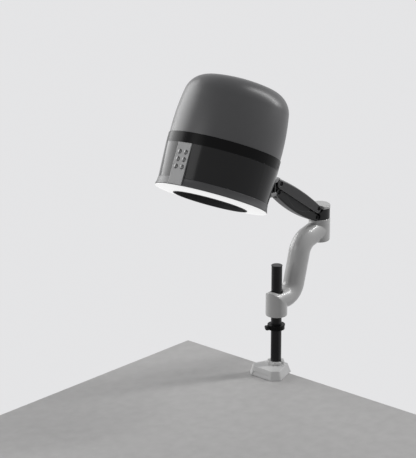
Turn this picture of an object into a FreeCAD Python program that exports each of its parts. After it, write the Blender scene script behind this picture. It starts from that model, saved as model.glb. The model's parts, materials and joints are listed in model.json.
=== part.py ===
"""Pet dryer: a lighted dome head on a spring arm, a curved post arm and a desk clamp.

Millimetres, +Z up. The origin is on the pole's axis in the plane of the table top.
The table lies towards -Y and ends just behind the pole, and the head hangs over it.
"""
import FreeCAD, Part
import os
from math import acos, cos, hypot, pi, radians, sin, sqrt

V = FreeCAD.Vector
X_AXIS = V(1, 0, 0)
Y_AXIS = V(0, 1, 0)
Z_AXIS = V(0, 0, 1)

# Clearances
SEAT_GAP = 0.05
RUNNING_GAP = 0.05
BODY_GAP = 0.4
PANEL_GAP = 0.25
FILTER_GAP = 0.4

# Longer than any piece, for bores and cuts that pass right through
THROUGH = 400.0

# Clamp base on the table
TABLE_EDGE_Y = 15.8
PAD_THICKNESS = 1.5
PLATE_THICKNESS = 5.0
BASE_HEIGHT = 26.0
BASE_FRONT_Y = -66.0
BASE_FRONT_HALF = 37.0
BASE_WIDE_Y = -45.0
BASE_WIDE_HALF = 57.0
BASE_BACK_Y = 31.0
BASE_BACK_HALF = 31.0
BASE_TOP_INSET = 8.0
BASE_WALL = 2.5
BASE_PLATE_INSET = 6.0
BASE_LIFT = 0.5
BASE_DENT_DEPTH = 0.8
BASE_DENT_HEIGHT = 13.0
BASE_DENT_LEFT = 34.0
BASE_DENT_RIGHT = 30.0
BASE_DENT_SLANT = 6.0
BASE_CORNER_R = 7.0
BASE_EDGE_R = 2.5

# Pole and its socket
POLE_R = 15.0
POLE_WALL = 2.5
POLE_TOP = 316.0
POLE_CAP_HEIGHT = 2.0
POLE_CAP_LIP = 0.8
POLE_PLUG_DEPTH = 12.0
SOCKET_FLATS_HALF = 23.0
SOCKET_RISE = 9.0
SOCKET_FOOT_R = 21.0
SOCKET_NOTCH_WIDTH = 5.0

# Clamp under the table
BRACKET_HALF = 30.0
BRACKET_THICKNESS = 5.0
BRACKET_FLANGE = 10.0
BRACKET_GAP = 0.5
BRACKET_SCREW_BACK = 4.2
JAW_TOP = -84.0
JAW_THICKNESS = 12.0
JAW_HALF = 22.0
JAW_TIP_R = 22.0
CLAMP_AXIS_Y = -24.0
CLAMP_SCREW_R = 8.0
NUT_R = 12.0
NUT_PROUD = 2.0
TABLE_THICKNESS = 30.0
CLAMP_PAD_R = 21.0
CLAMP_PAD_FACE = 3.0
CLAMP_CUP_HEIGHT = 7.0
CLAMP_CUP_WALL = 3.0
CLAMP_UP = 20.0
KNOB_R = 24.0
KNOB_HEIGHT = 20.0
KNOB_LOBES = 6
KNOB_LOBE_R = 7.0
M4_R = 2.0
M6_R = 3.0
SCREW_HEAD_HEIGHT = 2.5
SCREW_SPACING = 40.0
JAW_SCREW_SPACING = 28.0
JAW_SCREW_DEPTH = 14.0

# Stop collar on the pole
COLLAR_BOTTOM = 130.0
COLLAR_HEIGHT = 14.0
COLLAR_R = 24.8
COLLAR_NECK_R = 23.8
COLLAR_RIM_HEIGHT = 4.5
COLLAR_SLIT = 2.0
COLLAR_EAR_ANGLE = 241.0
COLLAR_EAR_REACH = 32.0
COLLAR_EAR_WIDTH = 15.0
COLLAR_EAR_HEIGHT = 10.0
THUMB_R = 2.5
THUMB_HEAD_R = 4.0
THUMB_HEAD_LENGTH = 3.0
THUMB_INSET = 0.5

# Curved arm
SLEEVE_BOTTOM = 171.0
SLEEVE_R = 30.5
SLEEVE_EDGE_R = 2.0
BUSH_WALL = 2.5
BUSH_FLANGE_R = 24.0
BUSH_FLANGE_HEIGHT = 1.6
BUSH_RISE = 22.0
TUBE_R = 30.0
TUBE_WALL = 5.0
TUBE_ROOT_Z = 214.0
TUBE_ELBOW_Y = 66.0
TUBE_ELBOW_Z = 217.0
TUBE_KNEE_Y = 105.0
TUBE_KNEE_Z = 360.0
ELBOW_BEND_R = 44.0
KNEE_BEND_R = 50.0
BARREL_Y = 185.0
BARREL_R = 30.5
BARREL_BOTTOM = 345.0
BARREL_TOP = 412.6
BARREL_JOIN_Z = 381.0
BARREL_EDGE_R = 7.0
SHOULDER_PIN_R = 9.0
BARREL_BUSH_R = 14.0
SHOULDER_PIN_DEPTH = 44.0

# Shoulder
HUB_R = 29.4
HUB_TOP = 444.0
CAP_TOP = 453.0
CAP_EDGE_R = 4.0
TONGUE_HALF = 8.5
TONGUE_EYE_R = 10.5
UPPER_TURNING_GAP = 2.0
LOWER_TURNING_GAP = 1.5

# Spring arm: a parallelogram of two links
SHOULDER_PIVOT_Y = 155.8
SHOULDER_PIVOT_Z = 448.9
LINK_LENGTH = 198.3
LINK_ANGLE = 33.7
PIVOT_DROP_Y = -4.2
PIVOT_DROP_Z = -25.0
PIVOT_PIN_R = 4.0
PIVOT_RECESS_R = 7.0
PIVOT_RECESS_DEPTH = 4.0
PIVOT_BOSS_WALL = 1.6
UPPER_HALF = 21.0
UPPER_WALL = 2.5
UPPER_END_R = 13.5
UPPER_CROWN = 19.5
UPPER_EDGE_R = 3.0
UPPER_CROSS_R = 46.0
CHEEK_THICKNESS = 3.0
CHEEK_HALF_HEIGHT = 7.5
LOWER_HALF = 16.5
LOWER_WALL = 2.5
LOWER_END_R = 11.0
LOWER_CROWN = 20.0
LOWER_TOP = 7.0
LOWER_POCKET_DROP = 11.0
LOWER_POCKET_HALF_LENGTH = 64.0
LOWER_POCKET_DEPTH = 1.2
LOWER_EDGE_R = 4.0
LOWER_RECESS_R = 6.2
LOWER_RECESS_DEPTH = 3.0
LOWER_BOSS_WALL = 1.6
SPRING_FOOT_FORWARD = 5.8
SPRING_FOOT_DROP = 12.9
SPRING_HEAD_S = 168.0
SPRING_HEAD_N = 0.0
SPRING_TUBE_R = 7.5
SPRING_TUBE_WALL = 1.2
SPRING_TUBE_LENGTH = 96.0
SPRING_ROD_R = 3.0
SPRING_ROD_LENGTH = 120.0
SPRING_PIN_R = 3.0
SPRING_EYE_R = 6.0
SPRING_EYE_HALF = 4.0
SPRING_NECK_R = 4.0

# Head carrier
YAW_REACH = 36.3
YAW_PLATE_R = 19.0
YAW_PLATE_RISE = 18.1
YAW_PLATE_DROP = 30.9
YAW_LIP_INSET = 3.0
YAW_PLATE_THICKNESS = 11.0
YAW_PIN_R = 5.0
YAW_HUB_R = 14.0
YAW_WEB = 3.5
YAW_REST = -2.3
TILT_ARM = 30.5
TILT_DROP = 7.9
TILT_REST = -26.9
ROLL_REST = -4.4
TILT_LUG_HALF = 7.0
TILT_LUG_R = 11.0
TILT_FORK_HALF = 15.0
TILT_FORK_R = 12.0
TILT_PIN_R = 5.0
TILT_PIN_HEAD_R = 8.0
TILT_PIN_HEAD = 3.0
ROLL_FLANGE_R = 26.0
ROLL_FLANGE_THICKNESS = 5.0
ROLL_PIN_R = 6.0
HEAD_STANDOFF = 25.8
HEAD_MOUNT_Z = 69.5

# Head shells, radii about the head's own axis and heights above its rim
SHELL_FOOT_R = 149.8
SHELL_FLARE = 4.1
SHELL_TOP_R = SHELL_FOOT_R + SHELL_FLARE
SHELL_TOP = 113.5
SHELL_WALL = 2.5
SKIRT_HEIGHT = 21.0
SKIRT_STEP = 0.6
SKIRT_TOP_R = SHELL_FOOT_R + SKIRT_STEP
SKIRT_FLARE = 3.2
RIM_R = SKIRT_TOP_R + SKIRT_FLARE
RIM_LIP = 1.5
SKIRT_WAIST_FLARE = 0.9
SKIRT_WAIST_Z = 8.8
SKIRT_WALL = 3.0
BAND_INSET = 0.2
BAND_R = SHELL_TOP_R - BAND_INSET
BAND_WALL = 3.0
DOME_BOTTOM = 142.0
DOME_INSET = 1.8
DOME_R = BAND_R - DOME_INSET
DOME_WIDEST = 160.0
DOME_WALL_R = 640.0
DOME_CROWN = 327.0
DOME_CROWN_R = 435.0
DOME_SHOULDER_R = 63.0
DOME_THICKNESS = 2.5
BAND_SLOTS = 24
BAND_SLOT_WIDTH = 3.5
BAND_SLOT_HEIGHT = 17.0
BAND_SLOT_STEP = 5.5

# Air path
OUTLET_R = 101.5
OUTLET_DROP = 8.0
DUCT_WALL = 2.5
DUCT_TOP = 222.0
DIFFUSER_THICKNESS = 2.5
DIFFUSER_INSET = 1.0
DIFFUSER_DROP = 0.3
DECK_Z = 10.0
DECK_THICKNESS = 2.5
LED_BOARD_THICKNESS = 1.6
LED_HEIGHT = 1.2
LED_COUNT = 36
LED_SIZE = 5.0
LED_OUTWARD = 3.25
LED_RING_R = (OUTLET_R + SHELL_FOOT_R) / 2 + LED_OUTWARD
LED_BOARD_HALF = 9.0
GRILLE_Z = 52.0
GRILLE_THICKNESS = 2.0
GRILLE_RINGS = 5
GRILLE_BAR = 2.4
GRILLE_SPOKES = 6
HEATER_Z = 84.0
HEATER_HEIGHT = 22.0
HEATER_BARS = 5
HEATER_BAR_WIDTH = 12.0
HEATER_BAR_INSET = 3.0
HEATER_FRAME_WALL = 5.0
FAN_Z = 158.0
FAN_HEIGHT = 30.0
FAN_TIP_GAP = 3.0
FAN_R = OUTLET_R - DUCT_WALL - FAN_TIP_GAP
FAN_HUB_R = 30.0
FAN_BLADES = 7
FAN_BLADE_PITCH = 35.0
FAN_BLADE_THICKNESS = 2.2
FAN_SHAFT_R = 4.0
MOTOR_R = 34.0
MOTOR_BOTTOM = 205.0
MOTOR_HEIGHT = 58.0
MOTOR_ARMS = 3
MOTOR_ARM_WIDTH = 12.0
MOTOR_ARM_HEIGHT = 6.0
FILTER_THICKNESS = 3.0

# Control panel on the front of the head
PANEL_PROUD = 0.4
PANEL_FACE = SHELL_TOP_R + PANEL_PROUD
PANEL_HALF = 23.2
PANEL_FOOT = 1.0
PANEL_DEPTH = 12.0
PANEL_WALL = 2.0
PANEL_EDGE_R = 1.2
BUTTON_R = 6.4
BUTTON_COLUMN = 10.4
BUTTON_ROW = 19.9
BUTTON_MIDDLE_Z = 68.3
BUTTON_PROUD = 1.9
BUTTON_DOME = 1.6
BUTTON_TRAVEL = 1.2
BUTTON_FLANGE_R = 7.6
BUTTON_FLANGE = 1.2
BUTTON_STEM_R = 2.5
BUTTON_STEM = 1.3
BUTTON_NAMES = ("power", "heat", "fan_up", "fan_down", "light", "timer")
PANEL_BOARD_THICKNESS = 1.6
PANEL_BOARD_MARGIN = 16.0
SWITCH_R = 3.0
SWITCH_HEIGHT = 1.5
CONTROL_BOARD_X = (OUTLET_R + SHELL_FOOT_R) / 2
CONTROL_BOARD_HALF = 35.0
CONTROL_BOARD_HEIGHT = 60.0
CONTROL_BOARD_FOOT = 12.0
CONTROL_CHIP = 5.0

# Back of the head
MOUNT_BOSS_R = 30.0
MOUNT_PROUD = 3.4
MOUNT_FACE = SHELL_TOP_R + MOUNT_PROUD
HEAD_BACK_REACH = MOUNT_FACE + HEAD_STANDOFF
MOUNT_PLATE_R = 36.0
MOUNT_PLATE_THICKNESS = 4.0
MOUNT_PLATE_GAP = 1.0
ROLL_PIN_DEPTH = 18.0
STRUT_HALF = 22.0
STRUT_HALF_HEIGHT = 20.0
GLAND_ANGLE = 130.0
GLAND_Z = 45.0
GLAND_R = 8.0
GLAND_NUT_R = 11.0
GLAND_BORE_R = 3.7
GLAND_OUT = 14.0
GLAND_IN = 8.0


def cylinder(radius, height, base=V(0, 0, 0), direction=Z_AXIS):
    return Part.makeCylinder(radius, height, base, direction)


def tube(outer, inner, height, base=V(0, 0, 0), direction=Z_AXIS):
    start = base - direction * height
    return cylinder(outer, height, base, direction).cut(cylinder(inner, 3 * height, start, direction))


def block(low, high):
    size = high - low
    return Part.makeBox(size.x, size.y, size.z, low)


def revolve(points):
    """A solid of revolution about Z from (radius, height) points; a triple marks an arc's middle."""
    edges = []
    last = points[0]
    middle = None
    for point in points[1:] + points[:1]:
        if len(point) == 3:
            middle = point
            continue
        start = V(last[0], 0, last[1])
        end = V(point[0], 0, point[1])
        if middle:
            edges.append(Part.Arc(start, V(middle[0], 0, middle[1]), end).toShape())
        elif (end - start).Length > 1e-6:
            edges.append(Part.LineSegment(start, end).toShape())
        middle = None
        last = point
    face = Part.Face(Part.Wire(edges))
    return face.revolve(V(0, 0, 0), Z_AXIS, 360)


def extrude_x(edges, half):
    """A flat outline in the YZ plane, extruded to both sides of X = 0."""
    face = Part.Face(Part.Wire(edges))
    face.translate(V(-half, 0, 0))
    return face.extrude(V(2 * half, 0, 0))


def polygon_x(points, half):
    corners = [V(0, y, z) for y, z in points]
    return extrude_x(Part.makePolygon(corners + corners[:1]).Edges, half)


def polygon_z(points, low, high):
    corners = [V(x, y, low) for x, y in points]
    face = Part.Face(Part.makePolygon(corners + corners[:1]))
    return face.extrude(V(0, 0, high - low))


def turned(shape, angle, axis=Z_AXIS, centre=V(0, 0, 0)):
    copy = shape.copy()
    copy.rotate(centre, axis, angle)
    return copy


def placed(shape, frame):
    copy = shape.copy()
    copy.Placement = frame.multiply(copy.Placement)
    return copy


def rounded(shape, radius, wanted):
    """Round the edges that the test picks; radius is the size of the round."""
    edges = [edge for edge in shape.Edges if wanted(edge)]
    return shape.makeFillet(radius, edges)


def fused(first, *others):
    result = first
    for other in others:
        result = result.fuse(other)
    return result.removeSplitter()


# Frames of the moving parts
def link_frame():
    """Origin at the shoulder's upper pivot, +Y along the link to the head, +Z square to it."""
    angle = radians(LINK_ANGLE)
    along = V(0, -cos(angle), sin(angle))
    across = V(0, sin(angle), cos(angle))
    rotation = FreeCAD.Rotation(V(-1, 0, 0), along, across, "XYZ")
    return FreeCAD.Placement(V(0, SHOULDER_PIVOT_Y, SHOULDER_PIVOT_Z), rotation)


def tilt_frame():
    yaw = FreeCAD.Placement(V(0, YAW_Y, 0), FreeCAD.Rotation(Z_AXIS, YAW_REST))
    tilt = FreeCAD.Placement(V(0, -TILT_ARM, TILT_Z), FreeCAD.Rotation(X_AXIS, TILT_REST))
    return yaw.multiply(tilt)


def yaw_frame():
    return FreeCAD.Placement(V(0, YAW_Y, 0), FreeCAD.Rotation(Z_AXIS, YAW_REST))


def roll_frame():
    roll = FreeCAD.Placement(V(0, 0, 0), FreeCAD.Rotation(Y_AXIS, ROLL_REST))
    return tilt_frame().multiply(roll)


def head_frame():
    """Origin at the centre of the head's rim, +Z up the head's axis, -Y through the panel."""
    return roll_frame().multiply(FreeCAD.Placement(V(0, -HEAD_BACK_REACH, -HEAD_MOUNT_Z), FreeCAD.Rotation()))


LINK = link_frame()
UPPER_SHOULDER = V(0, SHOULDER_PIVOT_Y, SHOULDER_PIVOT_Z)
UPPER_HEAD = LINK.multVec(V(0, LINK_LENGTH, 0))
YAW_Y = UPPER_HEAD.y - YAW_REACH
YAW_PLATE_TOP = UPPER_HEAD.z + YAW_PLATE_RISE
YAW_PLATE_BOTTOM = UPPER_HEAD.z - YAW_PLATE_DROP
TILT_Z = UPPER_HEAD.z - TILT_DROP
YAW = yaw_frame()
TILT = tilt_frame()
HEAD = head_frame()
PIVOT_DROP = V(0, PIVOT_DROP_Y, PIVOT_DROP_Z)
LOWER_SHOULDER = UPPER_SHOULDER + PIVOT_DROP
LOWER_HEAD = UPPER_HEAD + PIVOT_DROP
LOWER_S = LINK.inverse().multVec(LOWER_SHOULDER).y
LOWER_N = LINK.inverse().multVec(LOWER_SHOULDER).z


# Clamp base
def base_outline(inset):
    front = BASE_FRONT_Y + inset
    back = BASE_BACK_Y - inset
    return [
        (-BASE_FRONT_HALF + 0.4 * inset, front), (BASE_FRONT_HALF - 0.4 * inset, front),
        (BASE_WIDE_HALF - inset, BASE_WIDE_Y + 0.4 * inset), (BASE_BACK_HALF - 0.7 * inset, back),
        (-BASE_BACK_HALF + 0.7 * inset, back), (-BASE_WIDE_HALF + inset, BASE_WIDE_Y + 0.4 * inset),
    ]


def base_loft(bottom_inset, top_inset, low, high):
    def wire(inset, z):
        corners = [V(x, y, z) for x, y in base_outline(inset)]
        return Part.makePolygon(corners + corners[:1])
    return Part.makeLoft([wire(bottom_inset, low), wire(top_inset, high)], True, True)


def is_steep(edge):
    a, b = edge.Vertexes[0].Point, edge.Vertexes[-1].Point
    return abs(b.z - a.z) > 0.5 * (b - a).Length


def base_dent():
    """The shallow recess in the lower part of the front face."""
    outline = [
        V(-BASE_DENT_LEFT, BASE_FRONT_Y - 1, 0), V(BASE_DENT_RIGHT, BASE_FRONT_Y - 1, 0),
        V(BASE_DENT_RIGHT - BASE_DENT_SLANT, BASE_FRONT_Y - 1, BASE_DENT_HEIGHT),
        V(-BASE_DENT_LEFT + BASE_DENT_SLANT, BASE_FRONT_Y - 1, BASE_DENT_HEIGHT),
    ]
    room = Part.Face(Part.makePolygon(outline + outline[:1])).extrude(V(0, 15, 0))
    return room.cut(base_loft(BASE_DENT_DEPTH, BASE_TOP_INSET + BASE_DENT_DEPTH, -1, BASE_HEIGHT))


def base_cover():
    low = BASE_LIFT
    outer = base_loft(0, BASE_TOP_INSET, low, BASE_HEIGHT)
    outer = rounded(outer, BASE_CORNER_R, is_steep)
    outer = rounded(outer, BASE_EDGE_R, lambda edge: edge.BoundBox.ZMin > BASE_HEIGHT - 0.01)
    inner = base_loft(BASE_WALL, BASE_TOP_INSET + BASE_WALL, low - 1, BASE_HEIGHT - BASE_WALL)
    hole = cylinder(SOCKET_FOOT_R + BODY_GAP, BASE_HEIGHT + 1)
    return outer.cut(base_dent()).cut(inner).cut(hole)


def base_plate():
    plate_low = PAD_THICKNESS
    outline = base_outline(BASE_PLATE_INSET)
    plate = polygon_z(outline, plate_low, plate_low + PLATE_THICKNESS)
    for x in (-SCREW_SPACING / 2, SCREW_SPACING / 2):
        plate = plate.cut(cylinder(M4_R + SEAT_GAP, THROUGH, V(x, bracket_screw_y(), 0)))
    return plate


def base_pad():
    table_side = block(V(-THROUGH, -THROUGH, -1), V(THROUGH, TABLE_EDGE_Y - 2, PAD_THICKNESS))
    return polygon_z(base_outline(BASE_PLATE_INSET), 0, PAD_THICKNESS).common(table_side)


def octagon(flat_half, low, high):
    corner = flat_half / cos(pi / 8)
    points = [(corner * cos(pi / 8 + k * pi / 4), corner * sin(pi / 8 + k * pi / 4)) for k in range(8)]
    return polygon_z(points, low, high)


def pole_socket():
    foot = cylinder(SOCKET_FOOT_R, BASE_HEIGHT - PAD_THICKNESS - PLATE_THICKNESS + SEAT_GAP,
                    V(0, 0, PAD_THICKNESS + PLATE_THICKNESS))
    collar = octagon(SOCKET_FLATS_HALF, BASE_HEIGHT + SEAT_GAP, BASE_HEIGHT + SOCKET_RISE)
    collar = rounded(collar, 1.2, lambda edge: edge.BoundBox.ZMin > BASE_HEIGHT + SOCKET_RISE - 0.01)
    socket = foot.fuse(collar).cut(cylinder(POLE_R + SEAT_GAP, THROUGH))
    half = SOCKET_NOTCH_WIDTH / 2
    notch = block(V(POLE_R - 1, -half, BASE_HEIGHT + 2), V(THROUGH, half, THROUGH))
    return socket.cut(notch)


def pole():
    low = PAD_THICKNESS + PLATE_THICKNESS
    return tube(POLE_R, POLE_R - POLE_WALL, POLE_TOP - low, V(0, 0, low))


def pole_cap():
    lid = cylinder(POLE_R + POLE_CAP_LIP, POLE_CAP_HEIGHT, V(0, 0, POLE_TOP))
    lid = rounded(lid, 1.0, lambda edge: edge.BoundBox.ZMin > POLE_TOP + 1)
    plug = cylinder(POLE_R - POLE_WALL - SEAT_GAP, POLE_PLUG_DEPTH, V(0, 0, POLE_TOP - POLE_PLUG_DEPTH))
    return lid.fuse(plug)


def bracket_screw_y():
    return TABLE_EDGE_Y + BRACKET_GAP + BRACKET_SCREW_BACK


def clamp_back():
    front = TABLE_EDGE_Y + BRACKET_GAP
    plate = block(V(-BRACKET_HALF, front, JAW_TOP - JAW_THICKNESS),
                  V(BRACKET_HALF, front + BRACKET_THICKNESS, PAD_THICKNESS))
    flange = block(V(-BRACKET_HALF + 6, front, PAD_THICKNESS - BRACKET_THICKNESS),
                   V(BRACKET_HALF - 6, front + BRACKET_FLANGE, PAD_THICKNESS))
    bracket = fused(plate, flange)
    for x in (-SCREW_SPACING / 2, SCREW_SPACING / 2):
        low = V(x, bracket_screw_y(), PAD_THICKNESS - BRACKET_THICKNESS - 1)
        bracket = bracket.cut(cylinder(M4_R + SEAT_GAP, THROUGH, low))
    for x in (-JAW_SCREW_SPACING / 2, JAW_SCREW_SPACING / 2):
        bracket = bracket.cut(cylinder(M6_R + SEAT_GAP, THROUGH, V(x, 0, jaw_screw_z()), Y_AXIS))
    return bracket


def jaw_screw_z():
    return JAW_TOP - JAW_THICKNESS / 2


def clamp_jaw():
    front = TABLE_EDGE_Y + BRACKET_GAP
    bar = block(V(-JAW_HALF, CLAMP_AXIS_Y, JAW_TOP - JAW_THICKNESS), V(JAW_HALF, front, JAW_TOP))
    tip = cylinder(JAW_TIP_R, JAW_THICKNESS, V(0, CLAMP_AXIS_Y, JAW_TOP - JAW_THICKNESS))
    jaw = fused(bar, tip).cut(cylinder(NUT_R + SEAT_GAP, THROUGH, V(0, CLAMP_AXIS_Y, JAW_TOP - THROUGH / 2)))
    for x in (-JAW_SCREW_SPACING / 2, JAW_SCREW_SPACING / 2):
        end = V(x, front - JAW_SCREW_DEPTH - 2, jaw_screw_z())
        jaw = jaw.cut(cylinder(M6_R + SEAT_GAP, THROUGH, end, Y_AXIS))
    return jaw


def clamp_nut():
    low = JAW_TOP - JAW_THICKNESS - NUT_PROUD
    height = JAW_THICKNESS + 2 * NUT_PROUD
    return tube(NUT_R, CLAMP_SCREW_R + RUNNING_GAP, height, V(0, CLAMP_AXIS_Y, low))


def clamp_screws():
    """Two screws down through the plate into the bracket and two from behind into the jaw."""
    solids = []
    for x in (-SCREW_SPACING / 2, SCREW_SPACING / 2):
        head_low = PAD_THICKNESS + PLATE_THICKNESS
        shank = cylinder(M4_R, BRACKET_THICKNESS + PLATE_THICKNESS, V(x, bracket_screw_y(), head_low), -Z_AXIS)
        head = cylinder(1.8 * M4_R, SCREW_HEAD_HEIGHT, V(x, bracket_screw_y(), head_low))
        solids.append(fused(head, shank))
    back = TABLE_EDGE_Y + BRACKET_GAP + BRACKET_THICKNESS
    for x in (-JAW_SCREW_SPACING / 2, JAW_SCREW_SPACING / 2):
        shank = cylinder(M6_R, BRACKET_THICKNESS + JAW_SCREW_DEPTH, V(x, back, jaw_screw_z()), -Y_AXIS)
        head = cylinder(1.8 * M6_R, SCREW_HEAD_HEIGHT, V(x, back, jaw_screw_z()), Y_AXIS)
        solids.append(fused(head, shank))
    return Part.makeCompound(solids)


# Clamp screw and its pad, set for the table's thickness
def clamp_pad():
    return cylinder(CLAMP_PAD_R, CLAMP_PAD_FACE, V(0, CLAMP_AXIS_Y, -TABLE_THICKNESS - CLAMP_PAD_FACE))


def pad_cup():
    top = -TABLE_THICKNESS - CLAMP_PAD_FACE
    cup = cylinder(CLAMP_PAD_R + 1, CLAMP_CUP_HEIGHT, V(0, CLAMP_AXIS_Y, top - CLAMP_CUP_HEIGHT))
    roof = V(0, CLAMP_AXIS_Y, top - CLAMP_CUP_WALL)
    pocket = cylinder(CLAMP_SCREW_R + BODY_GAP, CLAMP_CUP_HEIGHT, roof, -Z_AXIS)
    return cup.cut(pocket)


def clamp_screw_top():
    return -TABLE_THICKNESS - CLAMP_PAD_FACE - CLAMP_CUP_WALL - BODY_GAP


def knob_top():
    return JAW_TOP - JAW_THICKNESS - NUT_PROUD - CLAMP_UP - 3.0


def clamp_screw():
    top = clamp_screw_top()
    bottom = knob_top() - KNOB_HEIGHT + 4
    return cylinder(CLAMP_SCREW_R, top - bottom, V(0, CLAMP_AXIS_Y, bottom))


def clamp_knob():
    low = knob_top() - KNOB_HEIGHT
    reach = KNOB_R - KNOB_LOBE_R
    knob = cylinder(reach, KNOB_HEIGHT, V(0, CLAMP_AXIS_Y, low))
    for k in range(KNOB_LOBES):
        angle = 2 * pi * k / KNOB_LOBES
        centre = V(reach * cos(angle), CLAMP_AXIS_Y + reach * sin(angle), low)
        knob = knob.fuse(cylinder(KNOB_LOBE_R, KNOB_HEIGHT, centre))
    knob = knob.removeSplitter()
    knob = knob.makeChamfer(1.5, [edge for edge in knob.Edges if edge.BoundBox.ZLength < 0.01])
    return knob.cut(cylinder(CLAMP_SCREW_R + SEAT_GAP, KNOB_HEIGHT, V(0, CLAMP_AXIS_Y, low + 4)))


# Stop collar
def collar_frame():
    return FreeCAD.Placement(V(0, 0, COLLAR_BOTTOM), FreeCAD.Rotation(Z_AXIS, COLLAR_EAR_ANGLE))


def thumb_x():
    return COLLAR_EAR_REACH - THUMB_HEAD_R - THUMB_INSET


def stop_collar():
    neck = cylinder(COLLAR_NECK_R, COLLAR_HEIGHT)
    rim = cylinder(COLLAR_R, COLLAR_RIM_HEIGHT, V(0, 0, COLLAR_HEIGHT - COLLAR_RIM_HEIGHT))
    rim = rounded(rim, 1.2, lambda edge: edge.BoundBox.ZLength < 0.01)
    half = COLLAR_EAR_WIDTH / 2
    ear = block(V(COLLAR_NECK_R - 4, -half, 0), V(COLLAR_EAR_REACH, half, COLLAR_EAR_HEIGHT))
    outer_corner = lambda edge: edge.BoundBox.XMin > COLLAR_EAR_REACH - 0.01 and edge.BoundBox.ZLength > 1
    ear = rounded(ear, 3.0, outer_corner)
    collar = fused(neck, rim, ear)
    collar = collar.cut(cylinder(POLE_R + RUNNING_GAP, THROUGH, V(0, 0, -THROUGH / 2)))
    slit = COLLAR_SLIT / 2
    collar = collar.cut(block(V(0, -slit, -1), V(COLLAR_EAR_REACH + 1, slit, COLLAR_HEIGHT + 1)))
    bore = cylinder(THUMB_R + RUNNING_GAP, THROUGH, V(thumb_x(), -THROUGH / 2, COLLAR_EAR_HEIGHT / 2), Y_AXIS)
    return placed(collar.cut(bore), collar_frame())


def collar_screw():
    z = COLLAR_EAR_HEIGHT / 2
    half = COLLAR_EAR_WIDTH / 2
    shank = cylinder(THUMB_R, 2 * half + BODY_GAP, V(thumb_x(), -half - BODY_GAP, z), Y_AXIS)
    head = cylinder(THUMB_HEAD_R, THUMB_HEAD_LENGTH, V(thumb_x(), -half - BODY_GAP, z), -Y_AXIS)
    head = rounded(head, 1.0, lambda edge: edge.BoundBox.YLength < 0.01)
    return placed(fused(shank, head), collar_frame())


# Curved arm
def sleeve_bush():
    low = SLEEVE_BOTTOM - BODY_GAP - BUSH_FLANGE_HEIGHT
    high = TUBE_ROOT_Z + BUSH_RISE
    wall = tube(POLE_R + RUNNING_GAP + BUSH_WALL, POLE_R + RUNNING_GAP, high - low, V(0, 0, low))
    flange = tube(BUSH_FLANGE_R, POLE_R + RUNNING_GAP, BUSH_FLANGE_HEIGHT, V(0, 0, low))
    return fused(wall, flange)


def bend(before, corner, after, radius):
    """The two tangent points and the middle of an arc that rounds a corner."""
    into = (before - corner).normalize()
    out = (after - corner).normalize()
    half = acos(into.dot(out)) / 2
    reach = radius * cos(half) / sin(half)
    centre = corner + (into + out).normalize() * (radius / sin(half))
    return corner + into * reach, centre + (corner - centre).normalize() * radius, corner + out * reach


def tube_path():
    root = V(0, 0, TUBE_ROOT_Z)
    elbow = V(0, TUBE_ELBOW_Y, TUBE_ELBOW_Z)
    knee = V(0, TUBE_KNEE_Y, TUBE_KNEE_Z)
    end = V(0, BARREL_Y, BARREL_JOIN_Z)
    e1, e2, e3 = bend(root, elbow, knee, ELBOW_BEND_R)
    k1, k2, k3 = bend(elbow, knee, end, KNEE_BEND_R)
    curves = [
        Part.LineSegment(root, e1), Part.Arc(e1, e2, e3), Part.LineSegment(e3, k1),
        Part.Arc(k1, k2, k3), Part.LineSegment(k3, end),
    ]
    return Part.Wire([curve.toShape() for curve in curves])


def tube_axis():
    """Direction in which the tube leaves the sleeve."""
    first = tube_path().Edges[0]
    return first.tangentAt(first.FirstParameter)


def tube_sweep(radius):
    profile = Part.Wire([Part.makeCircle(radius, V(0, 0, TUBE_ROOT_Z), tube_axis())])
    return tube_path().makePipeShell([profile], True, False)


def sleeve_skin():
    """The upright sleeve, whose top is the tube's own round back carried on to the front."""
    root = V(0, 0, TUBE_ROOT_Z)
    top = TUBE_ROOT_Z + TUBE_R
    post = cylinder(SLEEVE_R, top - SLEEVE_BOTTOM, V(0, 0, SLEEVE_BOTTOM))
    post = rounded(post, SLEEVE_EDGE_R, lambda edge: edge.BoundBox.ZMax < SLEEVE_BOTTOM + 0.01)
    lean = FreeCAD.Rotation(Y_AXIS, tube_axis())
    side = 2 * SLEEVE_R
    below = placed(block(V(-side, -side, -THROUGH), V(side, side, 0)), FreeCAD.Placement(root, lean))
    bar = cylinder(TUBE_R, 2 * side, root - tube_axis() * side, tube_axis())
    return post.common(below.fuse(bar))


def s_arm():
    sleeve = sleeve_skin()
    barrel = cylinder(BARREL_R, BARREL_TOP - BARREL_BOTTOM, V(0, BARREL_Y, BARREL_BOTTOM))
    barrel = rounded(barrel, BARREL_EDGE_R, lambda edge: edge.BoundBox.ZMax < BARREL_BOTTOM + 0.01)
    skin = fused(tube_sweep(TUBE_R), sleeve, barrel)
    hollow = tube_sweep(TUBE_R - TUBE_WALL)
    hollow = hollow.cut(cylinder(SLEEVE_R - 2, THROUGH, V(0, 0, 0)))
    hollow = hollow.cut(cylinder(BARREL_R - 4, THROUGH, V(0, BARREL_Y, SLEEVE_BOTTOM)))
    arm = skin.cut(hollow)
    arm = arm.cut(cylinder(POLE_R + BUSH_WALL + 2 * RUNNING_GAP, THROUGH))
    seat_low = BARREL_TOP - SHOULDER_PIN_DEPTH - 4
    return arm.cut(cylinder(BARREL_BUSH_R + SEAT_GAP, THROUGH, V(0, BARREL_Y, seat_low)))


def barrel_bush():
    low = BARREL_TOP - SHOULDER_PIN_DEPTH - 3
    return tube(BARREL_BUSH_R, SHOULDER_PIN_R + RUNNING_GAP, SHOULDER_PIN_DEPTH + 3, V(0, BARREL_Y, low))


# Shoulder
def crosswise(radius, pivot, half=THROUGH / 2):
    """A cylinder along X through a pivot, the same length to both sides."""
    return cylinder(radius, 2 * half, V(-half, pivot.y, pivot.z), X_AXIS)


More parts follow.
